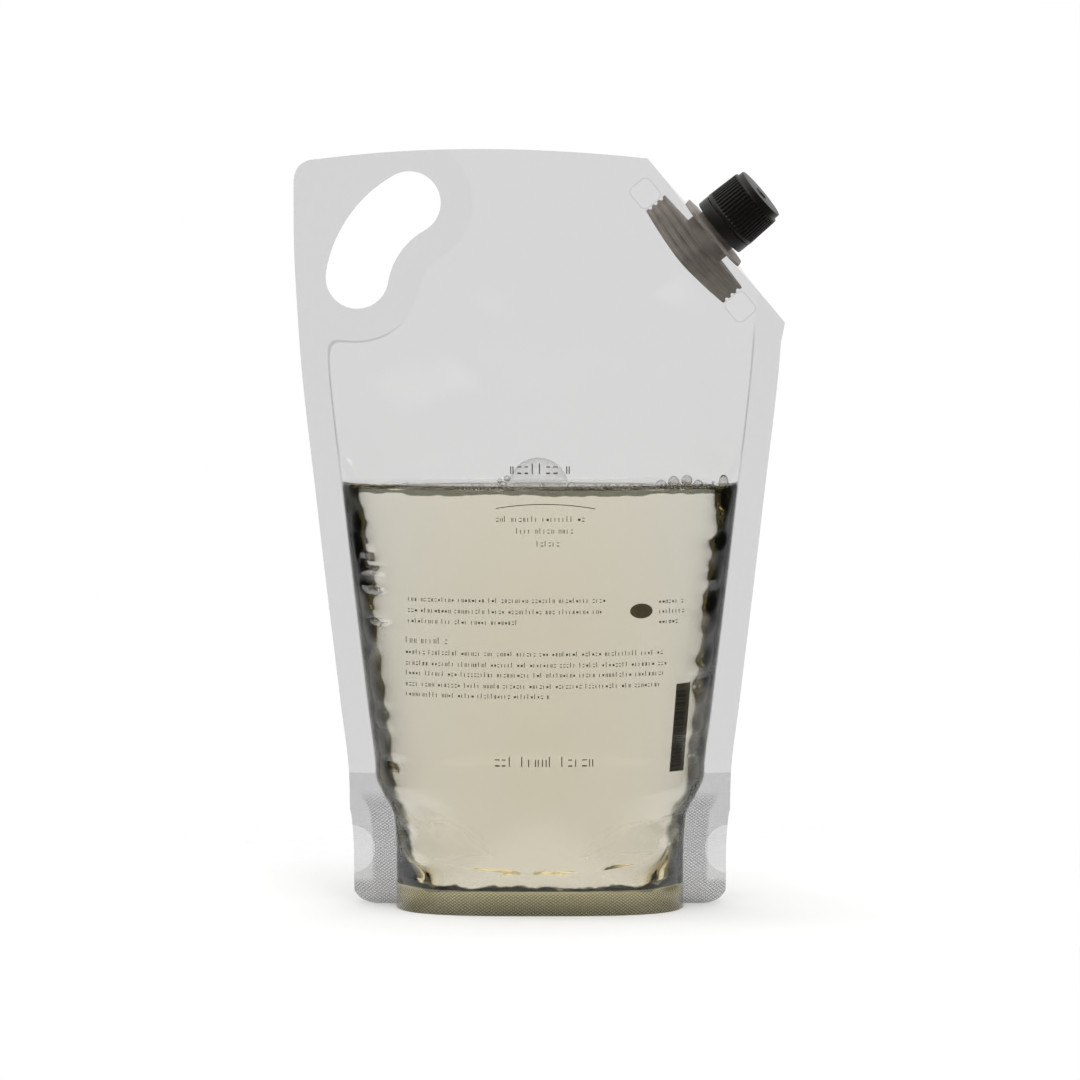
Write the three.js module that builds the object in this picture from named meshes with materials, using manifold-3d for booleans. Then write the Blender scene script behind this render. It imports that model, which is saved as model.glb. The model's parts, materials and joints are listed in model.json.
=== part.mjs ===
// A one-litre refill pack of liquid hand wash: a clear stand-up pouch of three welded films, with a hand
// hole punched through its sealed top left corner and a moulded spout welded into its cut top right corner.
// Millimetres, +Z up. The origin is the middle of the oval foot, front -Y, and the spout is on the +X side.
import * as THREE from "three";
import { mergeVertices } from "three/addons/utils/BufferGeometryUtils.js";
import Module from "manifold-3d";

const wasm = await Module();
wasm.setup();

const { sin, cos, tan, atan, sqrt, min, max, hypot, PI } = Math;
const degrees = (angle) => (angle * PI) / 180;

// Pouch films
const FILM = 0.2;
const GAP = 0.3; // kept between films that are welded together in the real pack
const TOP_SEAL_FROM = 266;
const POUCH_HALF_WIDTH = 90;
const TOP_CORNER_RADIUS = 9;
const FOOT_CORNER_RADIUS = 11;
const TOP_LEFT = 273.2; // height of the top edge where the left corner's round begins
const TOP_CROWN = 276.8; // height of the top edge at its highest
const CUT_START = new THREE.Vector2(39.2, 273.5); // the spout corner is cut from here down to the side
const SPOUT_TURN = degrees(50); // the spout's axis leans this far from upright, towards +X
const SPOUT_LEAN = degrees(6.84); // and this far towards the front, as the film bends under its weight
const CUT_SPARE = 5; // film left on the outline past the cut, which is then trimmed square to the spout
const LEAN_STRETCH = 60; // length of film over which that bend comes in

// Half widths and half depths of the filled pouch against height: [height, size]
const EDGE_HALF_WIDTH = [
  [0, 69.4],
  [45, 70],
  [75, 73.3],
  [112, 77.7],
  [148, 81.8],
  [207, 88],
  [250, POUCH_HALF_WIDTH],
  [300, POUCH_HALF_WIDTH],
];
const HALF_DEPTH = [
  [0, 39.2],
  [12, 40.5],
  [50, 42.5],
  [100, 39.6],
  [153, 31.5],
  [185, 20.8],
  [207, 13],
  [235, 6.5],
  [TOP_SEAL_FROM, 0],
  [300, 0],
];
// Width of the side seals against height: wider at the foot, where the folded gusset's corners are welded in
const SIDE_SEAL = [
  [0, 17.2],
  [20, 17.2],
  [33, 16.4],
  [41, 12.6],
  [48, 10],
  [300, 10],
];
const BOWING = 1.15; // how much rounder a level section is than a plain circular arc

// Bottom gusset
const FOLD_HEIGHT = 48; // the gusset's fold where it is welded into the side seals
const FOOT_SEAL = 9; // height of the foot seal at the middle of the front and back
const PUNCH_RADIUS = 9; // half-moons punched out of the gusset's edges, where front and back weld together
const PUNCH_HEIGHT = 20;
const GUSSET_DIP = 1.5; // how far the weight of the liquid pushes the middle of the gusset down

// Liquid
const LEVEL = 153;
const LIQUID_GAP = 0.3;

// Hand hole: a bean along an arc
const HANDLE = {
  x: -28.9,
  z: 223.7,
  radius: 38.5,
  from: degrees(119.3),
  to: degrees(170.5),
  halfWidth: 11.5,
};
const HANDLE_SEAL = 12; // width of the sealed film around the hole

// Spout, along its own axis from the bottom of its weld boat
const BOAT_LENGTH = 44;
const BOAT_HEIGHT = 10.3;
const BOAT_RADIUS = 9.2; // the boat is as thick as the tube that passes through it
const BOAT_TIP = 0.8; // half thickness of the boat at its two tips
const BOAT_CLEARANCE = 0.75; // between the boat's ribs and the film around it
const RIB_DEPTH = 0.7;
const RIB_HEIGHT = 1.3;
const RIBS = 4;
const FILM_EDGE_AT = 14.1; // where the film ends, under the flange
const COLLAR_RADIUS = 9.5;
const FLANGE_FROM = 14.5;
const FLANGE_TO = 15.6;
const FLANGE_LENGTH = 29.6;
const FLANGE_WIDTH = 19.6;
const FLANGE_CHAMFER = 4;
const NECK_RADIUS = 8.6;
const NECK_TOP = 35.8;
const BORE_RADIUS = 7.6;
const BEAD_FROM = 20.7; // the bead that keeps the tamper ring on the neck
const BEAD_TO = 21.7;
const BEAD_RADIUS = 9.9;

// Cap and tamper ring
const RING_FROM = 17.8;
const RING_TO = 22;
const RING_RADIUS = 11.55;
const RING_WALL = 1.1;
const RING_LIP_RADIUS = 9.1; // the lip that catches under the bead
const RING_LIP_TO = 19.6;
const CAP_FROM = 22.3;
const CAP_TO = 37.8;
const CAP_LIP_FROM = 35.4;
const CAP_LIP_RADIUS = 10.35;
const CAP_RADIUS_LOW = 11.65;
const CAP_RADIUS_HIGH = 11.2;
const CAP_BAND = 1.4; // plain band under the ribs
const CAP_BORE = 10.1;
const CAP_ROOF = 36.3; // inside face of the cap's top
const PLUG_OUTER = 7.3;
const PLUG_INNER = 6.4;
const PLUG_FROM = 33.4;
const BOSS_RADIUS = 2.6; // the moulding gate on top of the cap
const BOSS_HEIGHT = 0.5;
const CAP_RIBS = 48;
const CAP_RIB_DEPTH = 0.5;
const ROUND_STEPS = 40;

// Value of a profile of [height, size] points at a height, with a smooth monotone curve through them
function profileAt(points, height) {
  const last = points.length - 1;
  const i = max(0, min(last - 1, points.findIndex(([h]) => h > height) - 1));
  const slope = (k) => (points[k + 1][1] - points[k][1]) / (points[k + 1][0] - points[k][0]);
  const tangent = (k) => {
    if (k === 0 || k === last) return slope(k === 0 ? 0 : last - 1);
    const [before, after] = [slope(k - 1), slope(k)];
    return before * after <= 0 ? 0 : (2 * before * after) / (before + after);
  };
  const span = points[i + 1][0] - points[i][0];
  const t = max(0, min(1, (height - points[i][0]) / span));
  return (
    points[i][1] * (1 + 2 * t) * (1 - t) ** 2 +
    tangent(i) * span * t * (1 - t) ** 2 +
    points[i + 1][1] * t * t * (3 - 2 * t) +
    tangent(i + 1) * span * t * t * (t - 1)
  );
}

const smoothstep = (t) => {
  const s = max(0, min(1, t));
  return s * s * (3 - 2 * s);
};

const edgeHalfWidth = (z) => profileAt(EDGE_HALF_WIDTH, z);
const seamHalfWidth = (z) => edgeHalfWidth(z) - profileAt(SIDE_SEAL, z);
const halfDepth = (z) => max(0, profileAt(HALF_DEPTH, z));

// The spout's axis in the plane of the pouch: q runs along it and b across it, towards the right side
const AXIS = new THREE.Vector2(sin(SPOUT_TURN), cos(SPOUT_TURN));
const ALONG_CUT = new THREE.Vector2(cos(SPOUT_TURN), -sin(SPOUT_TURN));
const spoutEdge = CUT_START.clone().addScaledVector(ALONG_CUT, 36.2);
const boatFoot = spoutEdge.clone().addScaledVector(AXIS, -FILM_EDGE_AT * cos(SPOUT_LEAN));
const alongSpout = (x, z) => (x - boatFoot.x) * AXIS.x + (z - boatFoot.y) * AXIS.y;
const acrossSpout = (x, z) => (x - boatFoot.x) * AXIS.y - (z - boatFoot.y) * AXIS.x;

// How far the films lean to the front near the spout
function lean(x, z) {
  const q = alongSpout(x, z) + LEAN_STRETCH;
  if (q <= 0) return 0;
  const slope = tan(SPOUT_LEAN);
  return q < LEAN_STRETCH ? (-slope * q * q) / (2 * LEAN_STRETCH) : -slope * (q - LEAN_STRETCH / 2);
}

// Where the spout stands in the pouch
function spoutPlace() {
  return new THREE.Matrix4()
    .makeTranslation(boatFoot.x, lean(boatFoot.x, boatFoot.y), boatFoot.y)
    .multiply(new THREE.Matrix4().makeRotationY(SPOUT_TURN))
    .multiply(new THREE.Matrix4().makeRotationX(SPOUT_LEAN));
}

// Half thickness of the weld boat across its length: round over the tube, then straight flanks to thin tips
function boatHalf(b, radius) {
  const reach = BOAT_LENGTH / 2;
  const tangentAngle = Math.asin((radius - BOAT_TIP) / reach);
  const turn = radius * sin(tangentAngle);
  if (Math.abs(b) < turn) return sqrt(radius * radius - b * b);
  const start = radius * cos(tangentAngle);
  return max(0, start - ((Math.abs(b) - turn) / (reach - turn)) * (start - BOAT_TIP));
}

// Distance from the middle line of the hand hole, or 0 on its outer side, where the film is sealed flat
function handleDistance(x, z) {
  const [dx, dz] = [x - HANDLE.x, z - HANDLE.z];
  const angle = Math.atan2(dz, dx);
  const end = (a) => hypot(dx - HANDLE.radius * cos(a), dz - HANDLE.radius * sin(a));
  if (angle > HANDLE.from && angle < HANDLE.to) return max(0, HANDLE.radius - hypot(dx, dz));
  return min(end(HANDLE.from), end(HANDLE.to));
}

// Half the room between the front and back films, away from the seals
function fullness(x, z) {
  const nearHandle = smoothstep((handleDistance(x, z) - HANDLE.halfWidth - HANDLE_SEAL) / 34);
  const along = alongSpout(x, z);
  const nearCut = smoothstep((2 - along) / 30);
  return { share: nearHandle * nearCut, along, across: acrossSpout(x, z) };
}

function spoutRoom(along, across) {
  if (along < -60) return 0;
  const fade = along < 0 ? Math.exp(-((along / 24) ** 2)) : 1;
  const beyond = Math.abs(across) > BOAT_LENGTH / 2 + 3;
  return beyond ? 0 : boatHalf(across, BOAT_RADIUS + BOAT_CLEARANCE) * fade;
}

// Half thickness of what lies between the two panels in the side seals: the folded gusset at the foot
const stackHalf = (z) => GAP / 2 + (FILM + GAP / 2) * (1 - smoothstep((z - FOLD_HEIGHT) / 5));

// One level line of the front panel's inner face, from the left seal to the right seal, as [x, y] points
function levelLine(z) {
  const seam = seamHalfWidth(z);
  const depth = halfDepth(z);
  const arc = max(degrees(6), min(degrees(86), 2 * atan(depth / seam) * BOWING));
  return STEPS.map((t) => {
    const x = (seam * sin(arc * t)) / sin(arc);
    const bulge = (depth * (cos(arc * t) - cos(arc))) / (1 - cos(arc));
    const { share, along, across } = fullness(x, z);
    return [x, -max(bulge * share, spoutRoom(along, across))];
  });
}

// The same line carried on through both side seals, past the pouch's edges
function sealedLine(z) {
  const [near, far] = [seamHalfWidth(z) + 1, edgeHalfWidth(z) + 6];
  return [[-far, 0], [-near, 0], ...levelLine(z), [near, 0], [far, 0]];
}

// Moves a level line outwards by a distance, along the mitred normals of its corners
function offsetLine(line, distance) {
  return line.map(([x, y], i) => {
    const normals = [];
    if (i > 0) normals.push([y - line[i - 1][1], line[i - 1][0] - x]);
    if (i < line.length - 1) normals.push([line[i + 1][1] - y, x - line[i + 1][0]]);
    const units = normals.map(([nx, ny]) => [nx / hypot(nx, ny), ny / hypot(nx, ny)]);
    const sum = units.reduce((a, b) => [a[0] + b[0], a[1] + b[1]], [0, 0]);
    const scale = units.length / (sum[0] ** 2 + sum[1] ** 2);
    return [x + sum[0] * scale * distance, y + sum[1] * scale * distance];
  });
}

function closedGeometry(positions, faces) {
  const geometry = new THREE.BufferGeometry();
  geometry.setAttribute("position", new THREE.Float32BufferAttribute(positions, 3));
  geometry.setIndex(faces);
  return geometry;
}

// Closed geometry from two grids of points of the same size, the second one facing the other way
function shellBetween(outer, inner) {
  const [rows, columns] = [outer.length, outer[0].length];
  const [top, last] = [rows - 1, columns - 1];
  const index = (side, r, c) => side * rows * columns + r * columns + c;
  const faces = [];
  const quad = (a, b, c, d) => faces.push(a, b, c, a, c, d);
  for (let r = 0; r < top; r++) {
    for (let c = 0; c < last; c++) {
      quad(index(0, r, c), index(0, r, c + 1), index(0, r + 1, c + 1), index(0, r + 1, c));
      quad(index(1, r, c), index(1, r + 1, c), index(1, r + 1, c + 1), index(1, r, c + 1));
    }
  }
  for (let c = 0; c < last; c++) {
    quad(index(1, 0, c), index(1, 0, c + 1), index(0, 0, c + 1), index(0, 0, c));
    quad(index(0, top, c), index(0, top, c + 1), index(1, top, c + 1), index(1, top, c));
  }
  for (let r = 0; r < top; r++) {
    quad(index(1, r, 0), index(0, r, 0), index(0, r + 1, 0), index(1, r + 1, 0));
    quad(index(0, r, last), index(1, r, last), index(1, r + 1, last), index(0, r + 1, last));
  }
  return closedGeometry([...outer, ...inner].flat(2), faces);
}

// A closed geometry as a manifold-3d solid, and back again
function solidOf(geometry) {
  const bare = geometry.clone();
  bare.deleteAttribute("normal");
  bare.deleteAttribute("uv");
  const merged = mergeVertices(bare, 1e-4);
  return new wasm.Manifold(
    new wasm.Mesh({
      numProp: 3,
      vertProperties: new Float32Array(merged.attributes.position.array),
      triVerts: new Uint32Array(merged.index.array),
    }),
  );
}

function geometryOf(solid) {
  const mesh = solid.getMesh();
  const geometry = closedGeometry(mesh.vertProperties, [...mesh.triVerts]);
  geometry.computeVertexNormals();
  return geometry;
}

// A shape drawn in X and Z, as a slab right through the pouch along Y
function slabThrough(shape, halfDepthY, curveSegments = 8) {
  const options = { depth: 2 * halfDepthY, bevelEnabled: false, curveSegments };
  const geometry = new THREE.ExtrudeGeometry(shape, options);
  geometry.translate(0, 0, -halfDepthY);
  geometry.rotateX(PI / 2);
  return geometry;
}

// The pouch's outline as it stands, with its cut corner
function pouchShape() {
  const side = [270, 240, 207, 178, 148, 112, 75, 45, 20].map((z) => [edgeHalfWidth(z), z]);
  const shape = new THREE.Shape();
  const footEdge = edgeHalfWidth(FOOT_CORNER_RADIUS);
  const cutEnd = CUT_START.y - (POUCH_HALF_WIDTH - CUT_START.x) * tan(SPOUT_TURN);
  shape.moveTo(CUT_START.x + CUT_SPARE, CUT_START.y);
  shape.quadraticCurveTo(-26, 2 * TOP_CROWN - TOP_LEFT, -POUCH_HALF_WIDTH + TOP_CORNER_RADIUS, TOP_LEFT);
  shape.quadraticCurveTo(-POUCH_HALF_WIDTH, TOP_LEFT, -POUCH_HALF_WIDTH, TOP_LEFT - TOP_CORNER_RADIUS);
  side.filter(([, z]) => z < 260).forEach(([half, z]) => shape.lineTo(-half, z));
  shape.lineTo(-footEdge, FOOT_CORNER_RADIUS);
  shape.quadraticCurveTo(-footEdge, 0, -footEdge + FOOT_CORNER_RADIUS, 0);
  shape.lineTo(-footEdge + FOOT_CORNER_RADIUS, -2);
  shape.lineTo(footEdge - FOOT_CORNER_RADIUS, -2);
  shape.lineTo(footEdge - FOOT_CORNER_RADIUS, 0);
  shape.quadraticCurveTo(footEdge, 0, footEdge, FOOT_CORNER_RADIUS);
  const rising = side.filter(([, z]) => z < 210).reverse();
  rising.forEach(([half, z]) => shape.lineTo(half, z));
  shape.lineTo(POUCH_HALF_WIDTH, cutEnd + CUT_SPARE * tan(SPOUT_TURN));
  shape.closePath();
  return shape;
}

function handleShape() {
  const { x, z, radius, from, to, halfWidth } = HANDLE;
  const shape = new THREE.Shape();
  shape.absarc(x, z, radius + halfWidth, from, to, false);
  shape.absarc(x + radius * cos(to), z + radius * sin(to), halfWidth, to, to + PI, false);
  shape.absarc(x, z, radius - halfWidth, to, from, true);
  const start = [x + radius * cos(from), z + radius * sin(from)];
  shape.absarc(...start, halfWidth, from + PI, from + 2 * PI, false);
  return shape;
}

// Where the level lines and their points stand: closer together round the spout
const GUSSET_LEVELS = [0, 12, 22, 33, 41, FOLD_HEIGHT, FOLD_HEIGHT + 5];
const LIQUID_LEVELS = [...GUSSET_LEVELS, 75, 100, 128, LEVEL];
const SPOUT_LEVELS = [222, 228, 233, 238, 243, 248, 253, 258, 263, 268];
const PANEL_LEVELS = [...LIQUID_LEVELS, 178, 200, 213, ...SPOUT_LEVELS, 273, 285];
const LEFT_STEPS = [-1, -0.96, -0.86, -0.72, -0.56, -0.38, -0.2, 0, 0.16, 0.3];
const SPOUT_STEPS = [0.42, 0.48, 0.54, 0.6, 0.66, 0.72, 0.78, 0.84, 0.9, 0.96, 1];
const STEPS = [...LEFT_STEPS, ...SPOUT_STEPS];

function panelGrid(side, distance) {
  return PANEL_LEVELS.map((z) =>
    offsetLine(sealedLine(z), distance + stackHalf(z)).map(([x, y]) => [x, side * -y + lean(x, z), z]),
  );
}

// A welded panel of film: side -1 is the front and 1 the back
function panelGeometry(side) {
  const far = panelGrid(side, FILM);
  const near = panelGrid(side, 0);
  const sheet = solidOf(side < 0 ? shellBetween(far, near) : shellBetween(near, far));
  const outline = solidOf(slabThrough(pouchShape(), 80));
  const hole = solidOf(slabThrough(handleShape(), 80));
  const pastEdge = new THREE.BoxGeometry(110, 90, 60);
  pastEdge.translate(0, 0, FILM_EDGE_AT + 30);
  pastEdge.applyMatrix4(spoutPlace());
  return geometryOf(sheet.intersect(outline).subtract(hole).subtract(solidOf(pastEdge)));
}

// The space inside the films as a closed solid, between two levels, drawn in by a distance from the films
function chamberGeometry(levels, drawnIn, withSeals = false) {
  const line = withSeals ? sealedLine : levelLine;
  const grid = (side) =>
    levels.map((z) =>
      offsetLine(line(z), stackHalf(z) - drawnIn).map(([x, y]) => [x, side * -min(y, -0.02) + lean(x, z), z]),
    );
  return shellBetween(grid(-1), grid(1));
}

// Height of the gusset where it meets the panels, and along its middle, at a distance from the pouch's middle
function gussetHeights(x) {
  const share = min(1, Math.abs(x) / seamHalfWidth(FOLD_HEIGHT));
  const weld = FOOT_SEAL + (FOLD_HEIGHT - FOOT_SEAL) * share ** 5;
  const reach = halfDepth(weld) * sqrt(max(0, 1 - share * share));
  const free = FOLD_HEIGHT - weld + 0.5;
  const rise = sqrt(max(0, free * free - min(free, reach) ** 2));
  return { weld, reach, ridge: weld + rise * 0.92 - GUSSET_DIP * (1 - share) };
}

// Where the gusset's cross sections stand, as shares of its half length
const HALF_STATIONS = [0.2, 0.38, 0.54, 0.68, 0.8, 0.9, 0.97, 1.02, 1.3];
const STATIONS = [...HALF_STATIONS.map((share) => -share).reverse(), 0, ...HALF_STATIONS];
const DEEP = 60; // how far the solid under the gusset reaches past the pouch, down and to both sides

// One cross section of the solid under the gusset film, moved up by a distance, as [x, y, z] points
function tentSection(share, up) {
  const x = share * seamHalfWidth(FOLD_HEIGHT);
  const { weld, reach, ridge } = gussetHeights(x);
  const half = max(reach, 0.5);
  const side = half + 1.5;
  const low = max(-4, ridge - ((ridge - weld) / half) * side) + up;
  return [
    [x, -DEEP, -DEEP],
    [x, -DEEP, low],
    [x, -side, low],
    [x, 0, ridge + up],
    [x, side, low],
    [x, DEEP, low],
    [x, DEEP, -DEEP],
  ];
}

function tentGeometry(up) {
  const sections = STATIONS.map((share) => tentSection(share, up));
  const count = sections[0].length;
  const last = (sections.length - 1) * count;
  const faces = [];
  for (let start = 0; start < last; start += count) {
    for (let c = 0; c < count; c++) {
      const next = (c + 1) % count;
      const [a, b, d, e] = [start + c, start + next, start + count + c, start + count + next];
      faces.push(a, e, b, a, d, e);
    }
  }
  for (let c = 1; c < count - 1; c++) {
    faces.push(0, c, c + 1);
    faces.push(last, last + c + 1, last + c);
  }
  return closedGeometry(sections.flat(2), faces);
}

function gussetGeometry() {
  const chamber = solidOf(chamberGeometry(GUSSET_LEVELS, GAP, true));
  const hollow = solidOf(chamberGeometry(GUSSET_LEVELS, GAP + FILM));
  const outside = chamber.intersect(solidOf(tentGeometry(0)));
  const inside = hollow.intersect(solidOf(tentGeometry(-FILM * 1.3)));
  const outline = solidOf(slabThrough(pouchShape(), 80));
  const edge = edgeHalfWidth(PUNCH_HEIGHT);
  const [left, right] = [-edge, edge].map((x) => {
    const disc = new THREE.Shape().absarc(x, PUNCH_HEIGHT, PUNCH_RADIUS, 0, 2 * PI, false);
    return solidOf(slabThrough(disc, 5, 10));
  });
  return geometryOf(outside.subtract(inside).intersect(outline).subtract(left).subtract(right));
}

function liquidGeometry() {
  const chamber = solidOf(chamberGeometry(LIQUID_LEVELS, LIQUID_GAP));
  return geometryOf(chamber.subtract(solidOf(tentGeometry(LIQUID_GAP * 1.6))));
}

// A shape in X and Y, extruded up from one height to another
function plate(shape, from, to, curveSegments = ROUND_STEPS) {
  const geometry = new THREE.ExtrudeGeometry(shape, { depth: to - from, bevelEnabled: false, curveSegments });
  geometry.translate(0, 0, from);
  return geometry;
}

// A closed lathe round Z from [radius, height] points that run anticlockwise
function turned(points, steps = ROUND_STEPS) {
  const profile = [...points, points[0]].map(([radius, height]) => new THREE.Vector2(radius, height));
  const geometry = new THREE.LatheGeometry(profile, steps);
  geometry.rotateX(PI / 2);
  return geometry;
}

function turnedDisc(radius, from, to) {
  return turned([
    [0, from],
    [radius, from],
    [radius, to],
    [0, to],
  ]);
}

function boatShape(radius, inset) {
  const reach = BOAT_LENGTH / 2 - inset;
  const shape = new THREE.Shape();
  const shares = [-1, -0.5, -0.22, -0.12, 0, 0.12, 0.22, 0.5, 1];
  const half = shares.map((share) => [share * reach, boatHalf((share * BOAT_LENGTH) / 2, radius)]);
  half.forEach(([x, y], i) => (i ? shape.lineTo(x, -y) : shape.moveTo(x, -y)));
  half.reverse().forEach(([x, y]) => shape.lineTo(x, y));
  return shape;
}

function flangeShape() {
  const [x, y, cut] = [FLANGE_LENGTH / 2, FLANGE_WIDTH / 2, FLANGE_CHAMFER];
  const right = [
    [x - cut, -y],
    [x, -y + cut],
    [x, y - cut],
    [x - cut, y],
  ];
  const left = right.map(([px, py]) => [-px, -py]);
  return new THREE.Shape([...right, ...left].map(([px, py]) => new THREE.Vector2(px, py)));
}

function spoutGeometry() {
  const pitch = (BOAT_HEIGHT - RIB_HEIGHT) / (RIBS - 1);
  let solid = solidOf(plate(boatShape(BOAT_RADIUS - RIB_DEPTH, 0.6), 0.2, BOAT_HEIGHT - 0.2));
  for (let i = 0; i < RIBS; i++) {
    solid = solid.add(solidOf(plate(boatShape(BOAT_RADIUS, 0), i * pitch, i * pitch + RIB_HEIGHT)));
  }
  solid = solid.add(solidOf(plate(flangeShape(), FLANGE_FROM, FLANGE_TO)));
  const tube = turned([
    [1, 0.2],
    [COLLAR_RADIUS - 0.9, 0.2],
    [COLLAR_RADIUS - 0.9, BOAT_HEIGHT - 0.3],
    [COLLAR_RADIUS, BOAT_HEIGHT - 0.3],
    [COLLAR_RADIUS, FLANGE_FROM + 0.3],
    [NECK_RADIUS, FLANGE_FROM + 0.3],
    [NECK_RADIUS, BEAD_FROM],
    [BEAD_RADIUS, BEAD_FROM + 0.1],
    [NECK_RADIUS, BEAD_TO],
    [NECK_RADIUS, NECK_TOP],
    [1, NECK_TOP],
  ]);
  return geometryOf(solid.add(solidOf(tube)).subtract(solidOf(turnedDisc(BORE_RADIUS, -1, NECK_TOP + 1))));
}

function ringGeometry() {
  return turned([
    [RING_LIP_RADIUS, RING_FROM],
    [RING_RADIUS, RING_FROM],
    [RING_RADIUS, RING_TO],
    [RING_RADIUS - RING_WALL, RING_TO],
    [RING_RADIUS - RING_WALL, RING_LIP_TO],
    [RING_LIP_RADIUS, RING_LIP_TO],
  ]);
}

// The cap's ribbed outside, drafted so that it is narrower at the top
function capSkin() {
  const shape = new THREE.Shape();
  const step = (2 * PI) / CAP_RIBS;
  const corners = [
    [0.1, 0],
    [0.4, 0],
    [0.6, CAP_RIB_DEPTH],
    [0.9, CAP_RIB_DEPTH],
  ];
  for (let i = 0; i < CAP_RIBS; i++) {
    corners.forEach(([part, cut], k) => {
      const [angle, radius] = [(i + part) * step, CAP_RADIUS_LOW - cut];
      const point = [radius * cos(angle), radius * sin(angle)];
      i + k ? shape.lineTo(...point) : shape.moveTo(...point);
    });
  }
  const geometry = plate(shape, CAP_FROM + CAP_BAND - 0.2, CAP_LIP_FROM);
  const position = geometry.attributes.position;
  for (let i = 0; i < position.count; i++) {
    const share = (position.getZ(i) - CAP_FROM) / (CAP_LIP_FROM - CAP_FROM);
    const draft = 1 - (1 - CAP_RADIUS_HIGH / CAP_RADIUS_LOW) * share;
    position.setXY(i, position.getX(i) * draft, position.getY(i) * draft);
  }
  return geometry;
}

function capGeometry() {
  const band = turnedDisc(CAP_RADIUS_LOW, CAP_FROM, CAP_FROM + CAP_BAND);
  const lip = turned([
    [0, CAP_LIP_FROM - 0.2],
    [CAP_LIP_RADIUS, CAP_LIP_FROM - 0.2],
    [CAP_LIP_RADIUS, CAP_TO],
    [BOSS_RADIUS, CAP_TO],
    [BOSS_RADIUS, CAP_TO + BOSS_HEIGHT],
    [0, CAP_TO + BOSS_HEIGHT],
  ]);
  const inside = turned([
    [0, CAP_FROM - 1],
    [CAP_BORE, CAP_FROM - 1],
    [CAP_BORE, CAP_ROOF],
    [PLUG_OUTER, CAP_ROOF],
    [PLUG_OUTER, PLUG_FROM],
    [PLUG_INNER, PLUG_FROM],
    [PLUG_INNER, CAP_ROOF],
    [0, CAP_ROOF],
  ]);
  return geometryOf(solidOf(band).add(solidOf(capSkin())).add(solidOf(lip)).subtract(solidOf(inside)));
}

const clearFilm = { color: 0xd9d7d8, roughness: 0.25, transparent: true, opacity: 0.45 };
const handWash = { color: 0xcbc39b, roughness: 0.1, transparent: true, opacity: 0.8 };
const naturalPlastic = { color: 0x8a817c, roughness: 0.4 };
const blackPlastic = { color: 0x1c1b18, roughness: 0.35 };

function named(name, geometry, finish) {
  const mesh = new THREE.Mesh(geometry, new THREE.MeshStandardMaterial({ ...finish, metalness: 0 }));
  mesh.name = name;
  return mesh;
}

const pack = new THREE.Group();
pack.add(
  named("front_panel", panelGeometry(-1), clearFilm),
  named("back_panel", panelGeometry(1), clearFilm),
  named("bottom_gusset", gussetGeometry(), clearFilm),
  named("hand_wash", liquidGeometry(), handWash),
);

const spoutAxis = new THREE.Group();
spoutAxis.applyMatrix4(spoutPlace());
spoutAxis.add(
  named("spout", spoutGeometry(), naturalPlastic),
  named("tamper_ring", ringGeometry(), blackPlastic),
  named("cap", capGeometry(), blackPlastic),
);
pack.add(spoutAxis);

export default pack;
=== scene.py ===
import json
import math
import random

import bpy
import numpy as np
from mathutils import Matrix, Vector


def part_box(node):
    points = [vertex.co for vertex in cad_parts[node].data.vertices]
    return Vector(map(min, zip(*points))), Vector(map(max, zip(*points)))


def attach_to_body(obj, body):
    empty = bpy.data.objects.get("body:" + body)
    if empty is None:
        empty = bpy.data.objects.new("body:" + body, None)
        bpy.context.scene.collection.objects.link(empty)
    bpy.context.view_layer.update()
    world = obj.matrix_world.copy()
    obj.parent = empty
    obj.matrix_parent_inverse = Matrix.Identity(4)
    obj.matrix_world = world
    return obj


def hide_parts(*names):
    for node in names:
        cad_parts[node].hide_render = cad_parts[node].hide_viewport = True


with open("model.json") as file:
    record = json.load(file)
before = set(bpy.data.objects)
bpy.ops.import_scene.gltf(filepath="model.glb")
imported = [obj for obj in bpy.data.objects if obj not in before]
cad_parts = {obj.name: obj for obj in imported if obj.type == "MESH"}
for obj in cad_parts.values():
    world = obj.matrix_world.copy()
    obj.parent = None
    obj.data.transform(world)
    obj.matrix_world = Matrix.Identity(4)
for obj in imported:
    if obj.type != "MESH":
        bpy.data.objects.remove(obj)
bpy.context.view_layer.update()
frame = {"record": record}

bl_info = {
    "name": "Hand Wash Refill Pack",
    "version": (1, 0, 0),
    "blender": (4, 5, 0),
    "location": "3D View > Sidebar > Refill Pack",
    "description": "Builds a clear stand-up refill pouch of hand wash with its corner spout and screw cap",
    "category": "Object",
}

MM = 0.001

# The pouch's own sizes, in millimetres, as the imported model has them
FILM = 0.2
WELD_GAP = 0.3
TOP_SEAL_FROM = 266.0
POUCH_HALF_WIDTH = 90.0
TOP_LEFT, TOP_CROWN = 273.2, 276.8
TOP_CORNER, FOOT_CORNER = 9.0, 11.0
CUT_START = (39.2, 273.5)
FILM_EDGE_AT = 14.1
LEAN_STRETCH = 60.0
EDGE_HALF_WIDTH = ((0, 69.4), (45, 70), (75, 73.3), (112, 77.7), (148, 81.8), (207, 88), (250, 90), (300, 90))
HALF_DEPTH = ((0, 39.2), (12, 40.5), (50, 42.5), (100, 39.6), (153, 31.5), (185, 20.8), (207, 13), (235, 6.5),
              (TOP_SEAL_FROM, 0), (300, 0))
# Side seal width by height: wider at the foot, where the folded gusset's corners are welded in
SIDE_SEAL = ((0, 17.2), (20, 17.2), (33, 16.4), (41, 12.6), (48, 10), (300, 10))
# Shape of a filled level section: 2 is an ellipse, and more is boxier, as the foot's seal holds it
BOXINESS = ((0, 3.2), (12, 2.8), (50, 2.0), (100, 2.0), (300, 2.0))
EMPTY_FROM, EMPTY_TO = 150.0, 176.0
FOLD_HEIGHT = 48.0
FOOT_SEAL = 9.0
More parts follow.
